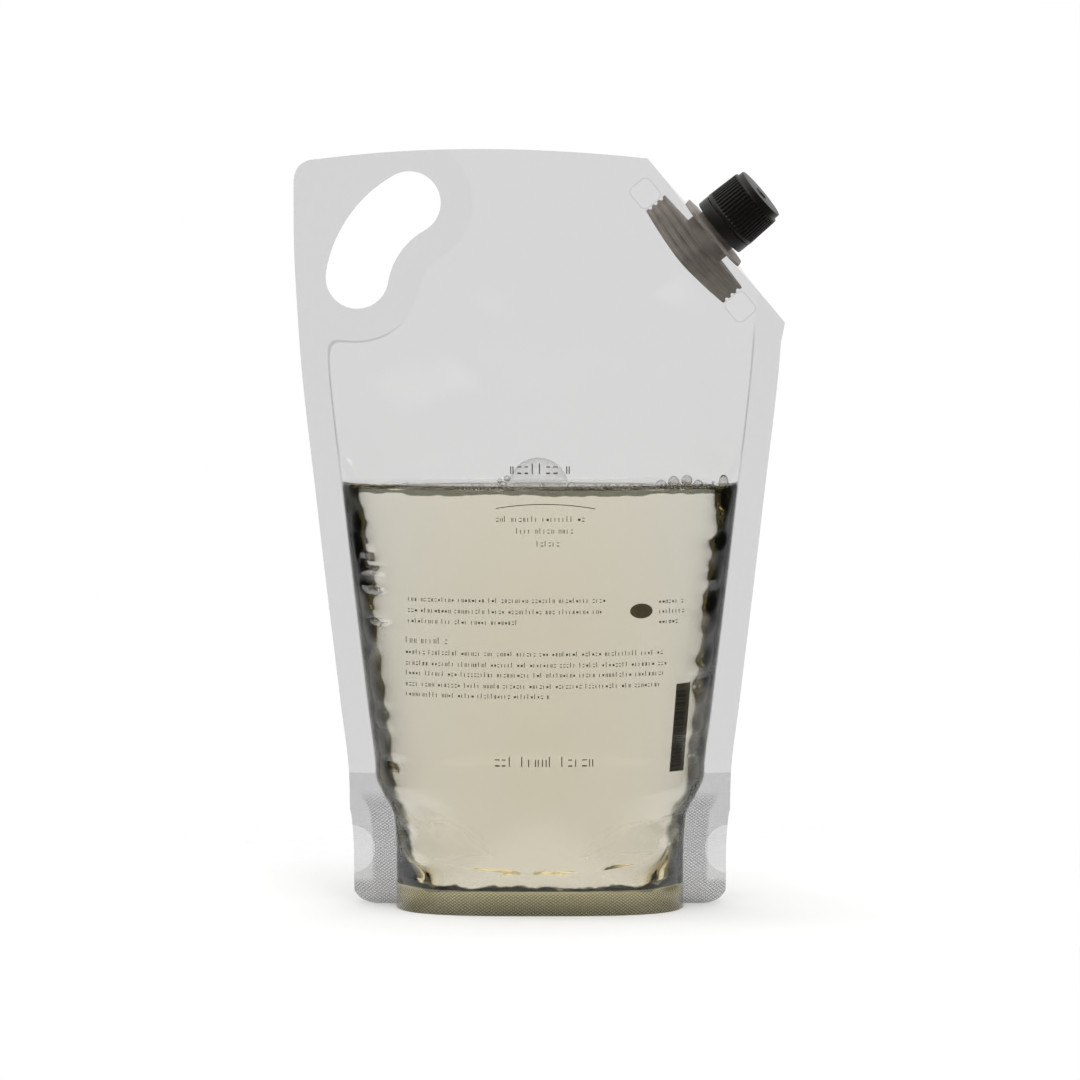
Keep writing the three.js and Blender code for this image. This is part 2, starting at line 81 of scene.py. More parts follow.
# Height of the gusset's middle line against distance from the middle of the foot
GUSSET_RIDGE = ((0, 12), (20, 12.5), (30, 14), (38, 19), (45, 27), (52, 36), (60, 48), (90, 48.5))
MENISCUS_RISE, MENISCUS_REACH = 2.3, 1.5
PUNCH = (20.0, 9.0)
HANDLE = {"x": -28.9, "z": 223.7, "radius": 38.5, "start": 119.3, "end": 170.5, "half": 11.5}
HANDLE_SEAL = 12.0
BOAT_LENGTH, BOAT_HEIGHT, BOAT_RADIUS, BOAT_TIP = 44.0, 10.3, 9.2, 0.8
BOAT_CLEARANCE = 0.75


def axis_of(joint_name):
    """The direction and a point of a joint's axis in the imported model, the point in millimetres."""
    joints = {joint["name"]: joint for joint in frame["record"]["behaviour"]["joints"]}
    joint = joints[joint_name]
    return Vector(joint["axis"]).normalized(), Vector(joint["pos_m"]) / MM


def spout_place():
    """The spout's own frame in millimetres: Z out along its axis from the boat's foot, X along the boat."""
    axis, point = axis_of("ring_turn")
    along_boat = Vector((axis.z, 0, -axis.x)).normalized()
    foot = point - 20 * axis
    turn = Matrix((along_boat, axis.cross(along_boat), axis)).transposed().to_4x4()
    return Matrix.Translation(foot) @ turn


SPOUT = spout_place()
SPOUT_LEAN = math.asin(-SPOUT.col[2].y)
SPOUT_TURN = math.atan2(SPOUT.col[2].x, SPOUT.col[2].z)


def linear(hexadecimal):
    """An sRGB hex colour as linear values."""
    channels = [int(hexadecimal[i:i + 2], 16) / 255 for i in (0, 2, 4)]
    return [c / 12.92 if c <= 0.04045 else ((c + 0.055) / 1.055) ** 2.4 for c in channels] + [1.0]


class PackSettings(bpy.types.PropertyGroup):
    """Sizes and colours of the pack that can be changed."""

    side_seal: bpy.props.FloatProperty(
        name="Side seal", description="Width of the welded band down each side", default=0.010, unit="LENGTH")
    pucker_depth: bpy.props.FloatProperty(
        name="Pucker depth", description="Depth of the film's small folds along the seals", default=1.0,
        subtype="UNSIGNED")
    film_tint: bpy.props.FloatVectorProperty(
        name="Film tint", description="Light that one face of the film lets through", size=4,
        default=linear("F6F6F6"), subtype="COLOR")
    liquid_tint: bpy.props.FloatVectorProperty(
        name="Hand wash tint", description="Colour of the hand wash in depth", size=4,
        default=linear("E9DA9C"), subtype="COLOR")
    liquid_density: bpy.props.FloatProperty(
        name="Hand wash depth", description="How strongly the hand wash takes up light, per metre",
        default=8.0, subtype="UNSIGNED")
    liquid_ior: bpy.props.FloatProperty(
        name="Hand wash IOR", description="How strongly the hand wash bends light", default=1.36,
        subtype="UNSIGNED")


class CapSettings(bpy.types.PropertyGroup):
    """Sizes of the spout's closure that can be changed."""

    ribs: bpy.props.IntProperty(
        name="Grip ribs", description="Ribs round the cap", default=48, min=12, subtype="UNSIGNED")
    lead: bpy.props.FloatProperty(
        name="Thread lead", description="Rise of the thread in one turn, in millimetres", default=3.2,
        subtype="UNSIGNED")
    bridges: bpy.props.IntProperty(
        name="Tamper bridges", description="Thin bridges between the ring and the cap", default=10, min=3,
        subtype="UNSIGNED")


class StageSettings(bpy.types.PropertyGroup):
    """The studio round the pack."""

    distance: bpy.props.FloatProperty(
        name="Camera distance", description="From the camera to the pack", default=2.5, unit="LENGTH")
    elevation: bpy.props.FloatProperty(
        name="Camera elevation", description="Height of the camera above level", default=math.radians(4.0),
        subtype="ANGLE")
    framed_width: bpy.props.FloatProperty(
        name="Framed width", description="Width that the picture takes in at the pack", default=0.3958,
        unit="LENGTH")
    aim_height: bpy.props.FloatProperty(
        name="Aim height", description="Height of the picture's middle", default=0.1338, unit="LENGTH")


def pack_settings():
    return bpy.context.scene.refill_pack


# ---------------------------------------------------------------- the pouch's form


def profile_at(points, height):
    """Value of a (height, size) profile with a smooth monotone curve through its points."""
    at, size = np.array(points, float).T
    slope = np.diff(size) / np.diff(at)
    tangent = np.concatenate(([slope[0]], np.zeros(len(slope) - 1), [slope[-1]]))
    before, after = slope[:-1], slope[1:]
    same = before * after > 0
    tangent[1:-1][same] = 2 * before[same] * after[same] / (before[same] + after[same])
    height = np.asarray(height, float)
    i = np.clip(np.searchsorted(at, height, side="right") - 1, 0, len(slope) - 1)
    span = at[i + 1] - at[i]
    t = np.clip((height - at[i]) / span, 0, 1)
    return (size[i] * (1 + 2 * t) * (1 - t) ** 2 + tangent[i] * span * t * (1 - t) ** 2
            + size[i + 1] * t * t * (3 - 2 * t) + tangent[i + 1] * span * t * t * (t - 1))


def smoothstep(t):
    t = np.clip(t, 0, 1)
    return t * t * (3 - 2 * t)


def seam_half_width(z):
    """Half the width between the side seams' inner edges at a height."""
    return profile_at(EDGE_HALF_WIDTH, z) - profile_at(SIDE_SEAL, z) * pack_settings().side_seal / 0.010


def half_depth(z):
    """Half the pouch's depth in its middle at a height."""
    return np.maximum(profile_at(HALF_DEPTH, z), 0)


def on_spout(x, z):
    """Distances along the spout's axis and across it, in the plane of the pouch."""
    dx, dz = x - SPOUT.translation.x, z - SPOUT.translation.z
    return (dx * math.sin(SPOUT_TURN) + dz * math.cos(SPOUT_TURN),
            dx * math.cos(SPOUT_TURN) - dz * math.sin(SPOUT_TURN))


def lean(x, z):
    """How far the films lean to the front near the heavy spout."""
    q = on_spout(x, z)[0] + LEAN_STRETCH
    slope = math.tan(SPOUT_LEAN)
    bent = np.where(q < LEAN_STRETCH, q * q / (2 * LEAN_STRETCH), q - LEAN_STRETCH / 2)
    return -slope * np.where(q > 0, bent, 0)


def boat_half(b, radius, tip=BOAT_TIP, length=BOAT_LENGTH):
    """Half thickness of the weld boat across its length."""
    reach = length / 2
    angle = math.asin((radius - tip) / reach)
    turn = radius * math.sin(angle)
    start = radius * math.cos(angle)
    b = np.abs(b)
    flank = start - (b - turn) / (reach - turn) * (start - tip)
    return np.where(b < turn, np.sqrt(np.maximum(radius ** 2 - b ** 2, 0)), np.maximum(flank, 0))


def handle_distance(x, z):
    """Distance from the hand hole's middle line, and 0 on its outer side, where the film is sealed flat."""
    dx, dz = x - HANDLE["x"], z - HANDLE["z"]
    start, end = math.radians(HANDLE["start"]), math.radians(HANDLE["end"])
    angle = np.arctan2(dz, dx)
    radius = HANDLE["radius"]
    ends = [np.hypot(dx - radius * math.cos(a), dz - radius * math.sin(a)) for a in (start, end)]
    inside = np.maximum(radius - np.hypot(dx, dz), 0)
    return np.where((angle > start) & (angle < end), inside, np.minimum(*ends))


def puckers():
    """Small folds along both side seals: (side, height, half height, place across, width, depth)."""
    pick = random.Random(11)
    folds = []
    for side in (-1, 1):
        z = 8.0
        while z < 225:
            folds.append((side, z, pick.uniform(1.6, 3.6), pick.uniform(0.9, 1.0), pick.uniform(0.05, 0.13),
                          pick.uniform(0.05, 0.3)))
            z += pick.uniform(4, 13)
    return folds


# Longer creases of the film: from (x, z) to (x, z), depth and half width
CREASES = (
    ((-57, 44), (-28, 35), -0.7, 1.6), ((-57, 44), (-34, 24), -0.5, 1.5), ((-57, 46), (-44, 14), 0.5, 1.6),
    ((57, 44), (36, 34), -0.6, 1.6), ((58, 44), (47, 22), -0.6, 1.5), ((57, 46), (30, 42), 0.4, 1.8),
    ((-66, 150), (-40, 176), 0.5, 3.0), ((66, 152), (44, 186), 0.5, 3.0),
    ((52, 205), (22, 178), -0.6, 3.5), ((-40, 210), (-12, 182), -0.6, 4.0),
    ((-62, 214), (-58, 180), 0.5, 3.0), ((70, 205), (60, 178), -0.5, 3.0),
)


def crease_depth(x, z):
    """Depth of the long creases, outwards positive."""
    total = np.zeros(np.broadcast(x, z).shape)
    for (x0, z0), (x1, z1), depth, width in CREASES:
        length = math.hypot(x1 - x0, z1 - z0)
        ux, uz = (x1 - x0) / length, (z1 - z0) / length
        along = (x - x0) * ux + (z - z0) * uz
        across = (x - x0) * uz - (z - z0) * ux
        taper = smoothstep(along / (0.3 * length)) * smoothstep((length - along) / (0.5 * length))
        total += depth * taper * np.exp(-((across / width) ** 2))
    return total


PUCKERS = puckers()


def section_room(x, z):
    """Room of a level section: a boxy oval where the liquid fills it, and a plain arc over the liquid."""
    seam, depth = seam_half_width(z), half_depth(z)
    across = np.clip(np.abs(x) / seam, 0, 1)
    power = profile_at(BOXINESS, z)
    full = np.maximum(1 - across ** power, 0) ** (1 / power)
    arc = np.clip(2 * np.arctan2(depth, seam), math.radians(6), math.radians(86))
    empty = (np.sqrt(1 - (across * np.sin(arc)) ** 2) - np.cos(arc)) / (1 - np.cos(arc))
    share = smoothstep((z - EMPTY_FROM) / (EMPTY_TO - EMPTY_FROM))
    return depth * (full + (empty - full) * share)


def bulge(x, z):
    """Distance of the front film's inner face from the middle plane, between the side seals."""
    room = section_room(x, z)
    across = np.clip(x / seam_half_width(z), -1, 1)
    folded = np.zeros(np.broadcast(x, z).shape)
    for side, height, tall, place, wide, deep in PUCKERS:
        folded += deep * np.exp(-(((z - height) / tall) ** 2) - ((across * side - place) / wide) ** 2)
    room = room * (1 - np.minimum(folded * pack_settings().pucker_depth, 0.6))
    room = room + crease_depth(x, z) * smoothstep(room / 6)
    along, over = on_spout(x, z)
    past_handle = handle_distance(x, z) - HANDLE["half"] - HANDLE_SEAL
    share = smoothstep(past_handle / 34) * smoothstep((2 - along) / 30)
    fade = np.where(along < 0, np.exp(-((along / 24) ** 2)), 1) * (along > -60)
    soft = 1.0
    beside = np.abs(over) < BOAT_LENGTH / 2 + 3
    boat = (boat_half(over, BOAT_RADIUS + BOAT_CLEARANCE) + soft / 2) * fade * beside
    room = room * share
    return (room + boat + np.sqrt((room - boat) ** 2 + soft ** 2) - soft) / 2


def stack_half(z):
    """Half thickness of what lies between the films in the side seals: the folded gusset at the foot."""
    return WELD_GAP / 2 + (FILM + WELD_GAP / 2) * (1 - smoothstep((z - FOLD_HEIGHT) / 5))


def film_steps(count):
    """Places across a panel from -1 to 1, closer together near the seams."""
    s = np.linspace(-1, 1, count)
    return 1.22 * s - 0.22 * s ** 3


def level_line(z, steps, with_seals):
    """One level line of the front film's inner face, from left to right."""
    seam = float(seam_half_width(z))
    x = seam * np.sin(math.pi / 2 * steps)
    y = -bulge(x, z)
    if with_seals:
        seal = seam + np.array([0.6, 2.5, 5.0, 7.5, 10.0, 16.0])
        x = np.concatenate((-seal[::-1], x, seal))
        y = np.concatenate((np.zeros(6), y, np.zeros(6)))
    return np.stack((x, y), 1)


def offset_line(line, distance):
    """A level line moved outwards along the mitred normals of its corners."""
    step = np.diff(line, axis=0)
    normal = np.stack((step[:, 1], -step[:, 0]), 1)
    normal /= np.linalg.norm(normal, axis=1, keepdims=True)
    before = np.vstack((normal[:1], normal))
    after = np.vstack((normal, normal[-1:]))
    total = before + after
    return line + total * (2 / np.maximum((total ** 2).sum(1, keepdims=True), 0.5)) * distance


def film_grid(levels, side, distance, steps, with_seals=True, keep_apart=0.0):
    """Grid of points at a distance outside the film's inner face, side -1 for the front."""
    rows = []
    for z in levels:
        line = offset_line(level_line(z, steps, with_seals), distance(z))
        y = side * np.maximum(-line[:, 1], keep_apart) if keep_apart else -side * line[:, 1]
        rows.append(np.stack((line[:, 0], y + lean(line[:, 0], z), np.full(len(line), z)), 1))
    return np.array(rows)


# ---------------------------------------------------------------- meshes


def mesh_object(name, points, faces, material=None, sharp=40.0, **maps):
    """A shaded mesh object from points in millimetres."""
    mesh = bpy.data.meshes.new(name)
    mesh.from_pydata(np.asarray(points, float) * MM, [], [tuple(map(int, face)) for face in faces])
    corners = np.empty(len(mesh.loops), int)
    mesh.loops.foreach_get("vertex_index", corners)
    for map_name, values in maps.items():
        layer = mesh.uv_layers.new(name=map_name)
        layer.data.foreach_set("uv", (np.asarray(values, float)[corners] * MM).ravel())
    made = bpy.data.objects.new(name, mesh)
    bpy.context.scene.collection.objects.link(made)
    if material:
        mesh.materials.append(material)
    finish_shading(made, sharp)
    return made


def finish_shading(piece, sharp=40.0):
    piece.data.shade_smooth()
    piece.data.set_sharp_from_angle(angle=math.radians(sharp))


def shell_faces(rows, columns):
    """Faces of a closed body between two grids, the second one facing the other way."""
    index = np.arange(2 * rows * columns).reshape(2, rows, columns)
    near, far = index
    faces = []

    def add(a, b, c, d):
        faces.extend(np.stack((a.ravel(), b.ravel(), c.ravel(), d.ravel()), 1))

    add(near[:-1, :-1], near[:-1, 1:], near[1:, 1:], near[1:, :-1])
    add(far[:-1, :-1], far[1:, :-1], far[1:, 1:], far[:-1, 1:])
    add(far[0, :-1], far[0, 1:], near[0, 1:], near[0, :-1])
    add(near[-1, :-1], near[-1, 1:], far[-1, 1:], far[-1, :-1])
    add(far[:-1, 0], near[:-1, 0], near[1:, 0], far[1:, 0])
    add(near[:-1, -1], far[:-1, -1], far[1:, -1], near[1:, -1])
    return faces


def shell_between(name, outer, inner, material=None, **maps):
    points = np.concatenate((outer.reshape(-1, 3), inner.reshape(-1, 3)))
    both = {key: np.concatenate((values.reshape(-1, 2),) * 2) for key, values in maps.items()}
    return mesh_object(name, points, shell_faces(*outer.shape[:2]), material, **both)


def prism(name, outline, half):
    """A slab through the pouch along Y from an anticlockwise outline in X and Z."""
    count = len(outline)
    points = [(x, side * half, z) for side in (-1, 1) for x, z in outline]
    faces = [tuple(range(count)), tuple(range(2 * count - 1, count - 1, -1))]
    faces += [(i, i + count, (i + 1) % count + count, (i + 1) % count) for i in range(count)]
    return mesh_object(name, points, faces)


def combine(piece, tool, operation):
    """Joins, cuts or trims a closed piece with another closed piece, which is used up."""
    modifier = piece.modifiers.new(operation.lower(), "BOOLEAN")
    modifier.operation = operation
    modifier.solver = "MANIFOLD"
    modifier.object = tool
    bpy.context.view_layer.update()
    evaluated = piece.evaluated_get(bpy.context.evaluated_depsgraph_get())
    mesh = bpy.data.meshes.new_from_object(evaluated)
    piece.modifiers.clear()
    old = piece.data
    piece.data = mesh
    bpy.data.meshes.remove(old)
    bpy.data.objects.remove(tool)
    if not len(mesh.polygons):
        raise RuntimeError(f"{piece.name}: nothing was left after {operation}")
    return piece


def arc_points(x, z, radius, start, end, count):
    return [(x + radius * math.cos(a), z + radius * math.sin(a)) for a in np.linspace(start, end, count)]


def quadratic(p0, p1, p2, count):
    return [tuple((1 - t) ** 2 * np.array(p0) + 2 * t * (1 - t) * np.array(p1) + t * t * np.array(p2))
            for t in np.linspace(0, 1, count)]


def pouch_outline():
    """The pouch as it stands, seen from the front, anticlockwise from the right foot."""
    half, corner = POUCH_HALF_WIDTH, TOP_CORNER
    foot = float(profile_at(EDGE_HALF_WIDTH, FOOT_CORNER))
    cut_end = CUT_START[1] - (half - CUT_START[0]) * math.tan(SPOUT_TURN)
    spare = 5.0
    side = [(float(profile_at(EDGE_HALF_WIDTH, z)), z) for z in np.linspace(FOOT_CORNER, 262, 60)]
    points = [(-foot + FOOT_CORNER, -2), (foot - FOOT_CORNER, -2)]
    points += quadratic((foot - FOOT_CORNER, 0), (foot, 0), (foot, FOOT_CORNER), 12)
    points += [(x, z) for x, z in side[1:] if z < 208]
    points += [(half + 0.5, cut_end + spare * math.tan(SPOUT_TURN)), (CUT_START[0] + spare, CUT_START[1])]
    points += quadratic(CUT_START, (-26, 2 * TOP_CROWN - TOP_LEFT), (-half + corner, TOP_LEFT), 40)
    points += quadratic((-half + corner, TOP_LEFT), (-half, TOP_LEFT), (-half, TOP_LEFT - corner), 14)[1:]
    points += [(-x, z) for x, z in reversed(side[1:])]
    points += quadratic((-foot, FOOT_CORNER), (-foot, 0), (-foot + FOOT_CORNER, 0), 12)
    return points


def handle_outline():
    """The bean-shaped hand hole, anticlockwise."""
    x, z, radius, half = HANDLE["x"], HANDLE["z"], HANDLE["radius"], HANDLE["half"]
    start, end = math.radians(HANDLE["start"]), math.radians(HANDLE["end"])
    far, near = ((x + radius * math.cos(a), z + radius * math.sin(a)) for a in (end, start))
    points = arc_points(x, z, radius + half, start, end, 30)
    points += arc_points(*far, half, end, end + math.pi, 24)[1:]
    points += arc_points(x, z, radius - half, end, start, 24)[1:]
    points += arc_points(*near, half, start + math.pi, start + 2 * math.pi, 24)[1:-1]
    return points


def place_on_spout(points):
    """Points from the spout's own frame to the pack's, in millimetres."""
    points = np.asarray(points, float)
    turn = np.array(SPOUT.to_3x3())
    return points @ turn.T + np.array(SPOUT.translation)


BOX_FACES = ((0, 2, 3, 1), (4, 5, 7, 6), (0, 1, 5, 4), (2, 6, 7, 3), (0, 4, 6, 2), (1, 3, 7, 5))


def spout_box(name, low, high):
    """A box square to the spout's own frame."""
    corners = [(x, y, z) for z in (low[2], high[2]) for y in (low[1], high[1]) for x in (low[0], high[0])]
    return mesh_object(name, place_on_spout(corners), BOX_FACES)


def arc_lengths(grid):
    """How far along its level line each point lies from the middle, with its height."""
    step = np.linalg.norm(np.diff(grid[:, :, :2], axis=1), axis=2)
    along = np.concatenate((np.zeros((len(grid), 1)), np.cumsum(step, axis=1)), axis=1)
    return np.stack((along - along[:, -1:] / 2, grid[:, :, 2]), 2)


def past_weld(grid):
    """How far outside the open chamber each point lies, past the side seams or round the hand hole."""
    x, z = grid[:, :, 0], grid[:, :, 2]
    side = np.abs(x) - seam_half_width(z)
    hole = HANDLE["half"] + HANDLE_SEAL - handle_distance(x, z)
    sharpness = 3.0
    past = np.logaddexp(side / sharpness, hole / sharpness) * sharpness
    return np.stack((past, z), 2)


PANEL_LEVELS = np.concatenate((np.linspace(0, 206, 104), np.linspace(207.5, 278, 60)))
PANEL_STEPS = film_steps(119)


def film_panel(name, side, material):
    """One film panel, side -1 for the front, cut to the outline, the hand hole and the spout's edge."""
    far = film_grid(PANEL_LEVELS, side, lambda z: stack_half(z) + FILM, PANEL_STEPS)
    near = film_grid(PANEL_LEVELS, side, stack_half, PANEL_STEPS)
    grids = (far, near) if side < 0 else (near, far)
    panel = shell_between(name, *grids, material, film=arc_lengths(grids[0]), weld=past_weld(grids[0]))
    combine(panel, prism("outline", pouch_outline(), 80), "INTERSECT")
    combine(panel, prism("hand_hole", handle_outline(), 80), "DIFFERENCE")
    past_edge = spout_box("past_edge", (-55, -45, FILM_EDGE_AT), (55, 45, FILM_EDGE_AT + 60))
    combine(panel, past_edge, "DIFFERENCE")
    finish_shading(panel, 35)
    return panel


def gusset_heights(x):
    """Where the gusset meets the films, how far out that is, and its ridge, along the width of the foot."""
    share = np.minimum(np.abs(x) / float(seam_half_width(FOLD_HEIGHT)), 1)
    weld = FOOT_SEAL + (FOLD_HEIGHT - FOOT_SEAL) * share ** 18
    reach = half_depth(weld) * np.sqrt(np.maximum(0, 1 - share ** 2))
    ridge = profile_at(GUSSET_RIDGE, np.abs(x))
    return np.minimum(weld, ridge + 1.5), reach, ridge


def gusset_dome(name, up):
    """The solid under the gusset film, moved up by a distance."""
    reach_x = float(seam_half_width(FOLD_HEIGHT))
    shares = np.concatenate(([-1.3, -1.02], film_steps(81), [1.02, 1.3]))
    x = shares * reach_x
    weld, reach, ridge = gusset_heights(x)
    half = np.maximum(reach, 0.5)
    across = np.linspace(-1, 1, 41)
    rounded = 1 - np.abs(across) ** 1.7
    y = half[:, None] * across
    z = weld[:, None] + (ridge - weld)[:, None] * rounded
    slope = np.maximum((ridge - weld) / half * 1.7, 0)
    beyond = half + 1.5
    low = weld - slope * 1.5
    y = np.concatenate((np.full((len(x), 1), -60.0), -beyond[:, None], y, beyond[:, None],
                        np.full((len(x), 1), 60.0)), axis=1)
    low = np.maximum(low, -10)[:, None]
    z = np.concatenate((low, low, z, low, low), axis=1) + up
    across_x = np.repeat(x[:, None], y.shape[1], axis=1)
    top = np.stack((across_x, y, z), 2)
    base = top.copy()
    base[:, :, 2] = -60
    return shell_between(name, base, top)


GUSSET_LEVELS = np.concatenate((np.linspace(0, 48, 30), [50, 53]))


def chamber(name, levels, drawn_in, with_seals, material=None):
    """The space inside the films as a closed body, drawn in from them by a distance."""
    front, back = (film_grid(levels, side, lambda z: stack_half(z) - drawn_in, PANEL_STEPS, with_seals, 0.02)
                   for side in (-1, 1))
    return shell_between(name, front, back, material, film=arc_lengths(front), weld=past_weld(front))


def foot_gusset(name, material):
    """The folded film under the foot, with a half-moon punched out of each corner."""
    gusset = chamber(name, GUSSET_LEVELS, WELD_GAP, True, material)
    combine(gusset, gusset_dome("under", 0), "INTERSECT")
    hollow = chamber("hollow", np.concatenate(([-1], GUSSET_LEVELS[1:])), WELD_GAP + FILM, False)
    combine(hollow, gusset_dome("under", -0.26), "INTERSECT")
    combine(gusset, hollow, "DIFFERENCE")
    combine(gusset, prism("outline", pouch_outline(), 80), "INTERSECT")
    for side in (-1, 1):
        edge = side * float(profile_at(EDGE_HALF_WIDTH, PUNCH[0]))
        disc = arc_points(edge, PUNCH[0], PUNCH[1], 0, 2 * math.pi, 41)[:-1]
        combine(gusset, prism("half_moon", disc, 5), "DIFFERENCE")
    finish_shading(gusset, 35)
    return gusset


def rounded_under(grid, side):
    """Draws the liquid's lower edge in where the film curls under to the foot seal, wavy along the width."""
    x, z = grid[:, :, 0], grid[:, :, 2]
    wave = 14.4 + 0.7 * np.sin(x / 3.1) + 0.5 * np.sin(x / 1.7 + 1) + 0.4 * np.sin(x / 7.3 + 2)
    t = np.clip((wave - z) / 5.4, 0, 1)
    inwards = 6.5 * (1 - np.sqrt(1 - t * t))
    grid[:, :, 1] = side * np.maximum(side * grid[:, :, 1] - inwards, 0.02)
    return grid


def liquid_side(side, level):
    """One side of the liquid: down the film, with the meniscus and half of the top surface on it."""
    grid = film_grid(np.linspace(0, level + MENISCUS_RISE, 100), side, lambda z: stack_half(z) - 0.3,
                     PANEL_STEPS, False, 0.02)
    grid = rounded_under(grid, side)
    rim = grid[-1]
    rows = []
    leaning = lean(rim[:, 0], rim[:, 2])
    from_middle = side * (rim[:, 1] - leaning)
    for d in (0.15, 0.35, 0.6, 0.95, 1.4, 2.0, 2.8, 4.0, 7.0, 14.0):
        inner = np.maximum(from_middle - d, 0.02)
        height = level + MENISCUS_RISE * np.exp(-(from_middle - inner) / MENISCUS_REACH)
        rows.append(np.stack((rim[:, 0], side * inner + leaning, height), 1))
    return np.concatenate((grid, np.array(rows)))


def liquid_body(name, material):
    """The hand wash between the films and over the gusset, up to its packed level."""
    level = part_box("hand_wash")[1][2] / MM
    body = shell_between(name, liquid_side(-1, level), liquid_side(1, level), material)
    combine(body, gusset_dome("gusset", 0.48), "DIFFERENCE")
    finish_shading(body, 30)
    return body


# ---------------------------------------------------------------- turned and moulded parts


def turned(name, profile, steps, material=None, ribs=0, place=True):
    """A body turned round the spout's axis from a closed profile of (radius, height, rib depth) points."""
    profile = [tuple(point) + (0,) * (3 - len(point)) for point in profile]
    angles = np.arange(steps) * 2 * math.pi / steps
    turns = (angles * ribs / (2 * math.pi)) % 1
    wave = np.clip(np.abs(turns - 0.5) * 5 - 0.75, 0, 1) if ribs else np.zeros(steps)
    rings, poles, points = [], {}, []
    for i, (radius, height, depth) in enumerate(profile):
        if radius < 1e-6:
            rings.append([len(points)] * steps)
            points.append((0, 0, height))
            continue
        r = radius - depth * (1 - wave)
        rings.append(list(range(len(points), len(points) + steps)))
        points.extend(np.stack((r * np.cos(angles), r * np.sin(angles), np.full(steps, height)), 1))
    faces = []
    for lower, upper in zip(rings, rings[1:] + rings[:1]):
        if lower[0] == lower[-1] and upper[0] == upper[-1]:
            continue
        for k in range(steps):
            n = (k + 1) % steps
            corners = (lower[k], lower[n], upper[n], upper[k])
            faces.append(tuple(dict.fromkeys(corners)))
    return mesh_object(name, place_on_spout(points) if place else points, faces, material, 35)


def filleted(points, radius, steps=4):
    """A closed profile with its corners rounded, for points on the axis left as they are."""
    out = []
    count = len(points)
    for i, point in enumerate(points):
        here = np.array(point[:2], float)
        before = np.array(points[i - 1][:2], float)
        after = np.array(points[(i + 1) % count][:2], float)
        if here[0] < 1e-6 or (len(point) > 3 and not point[3]):
            out.append(tuple(point[:3]))
            continue
        reach = min(radius, np.linalg.norm(before - here) * 0.45, np.linalg.norm(after - here) * 0.45)
        start = here + (before - here) / np.linalg.norm(before - here) * reach
        end = here + (after - here) / np.linalg.norm(after - here) * reach
        depth = point[2] if len(point) > 2 else 0
        for t in np.linspace(0, 1, steps):
            r, h = (1 - t) ** 2 * start + 2 * t * (1 - t) * here + t * t * end
            out.append((r, h, depth))
    return out


def thread_ridge(name, root, crest, start, turns, lead, width, phase=0.0, steps=72):
    """A helical thread ridge that fades in and out, closed and reaching into the wall it stands on."""
    count = int(turns * steps)
    deep = 0.35 if crest > root else -0.35
    section = [(root - deep, -width * 0.75), (root, -width * 0.62), (crest, -width * 0.22),
               (crest, width * 0.22), (root, width * 0.62), (root - deep, width * 0.75)]
    points, faces = [], []
    for k in range(count + 1):
        angle = phase + 2 * math.pi * k / steps
        height = start + lead * k / steps
        fade = float(smoothstep(min(k, count - k) / (steps * 0.12)))
        for r, h in section:
            r = root + (r - root) * fade if (r - root) * deep > 0 else r
            points.append((r * math.cos(angle), r * math.sin(angle), height + h))
    size = len(section)
    for k in range(count):
        for j in range(size):
            n = (j + 1) % size
            faces.append((k * size + j, (k + 1) * size + j, (k + 1) * size + n, k * size + n))
    faces += [tuple(range(size)), tuple(range((count + 1) * size - 1, count * size - 1, -1))]
    if crest < root:
        faces = [face[::-1] for face in faces]
    return mesh_object(name, place_on_spout(points), faces)


def stacked_faces(rows, count):
    """Faces of a closed body from rings of points, the lowest first."""
    faces = []
    for r in range(rows - 1):
        for i in range(count):
            n = (i + 1) % count
            faces.append((r * count + i, r * count + n, (r + 1) * count + n, (r + 1) * count + i))
    return faces + [tuple(range(count - 1, -1, -1)), tuple(range((rows - 1) * count, rows * count))]


def weld_boat(name, material):
    """The ribbed weld boat: a pointed oval whose ribs run its length."""
    count, rows = 160, 72
    ribs, rib = 4, 1.3
    pitch = (BOAT_HEIGHT - rib) / (ribs - 1)
    phi = np.arange(count) * 2 * math.pi / count
    points = []
    for h in np.linspace(0, BOAT_HEIGHT, rows):
        near = min(abs(h - (rib / 2 + k * pitch)) for k in range(ribs))
        groove = 1.0 * float(smoothstep((near - rib * 0.42) / 0.5))
        reach = BOAT_LENGTH / 2 - groove * 0.8
        b = reach * np.cos(phi)
        half = boat_half(b, BOAT_RADIUS - groove, BOAT_TIP, 2 * reach)
        tip = np.sqrt(np.maximum(0, 1 - (np.maximum(np.abs(b) - reach + 0.8, 0) / 0.8) ** 2))
        bowed = h + 1.4 * (b / reach) ** 2 * (1 - h / BOAT_HEIGHT)
        points.extend(np.stack((b, np.sign(np.sin(phi)) * half * tip, bowed), 1))
    return mesh_object(name, place_on_spout(points), stacked_faces(rows, count), material)


def flange_plate(name):
    """The thin carrying flange with cut corners."""
    x, y, cut, low, high = 14.8, 9.8, 4.0, 14.5, 15.6
    outline = [(x - cut, -y), (x, -y + cut), (x, y - cut), (x - cut, y), (-x + cut, y), (-x, y - cut),
               (-x, -y + cut), (-x + cut, -y)]
    edge = 0.2
    rings = [(1 - edge / 12, low), (1, low + edge), (1, high - edge), (1 - edge / 12, high)]
    points = [(px * s, py * s, h) for s, h in rings for px, py in outline]
    return mesh_object(name, place_on_spout(points), stacked_faces(len(rings), len(outline)))


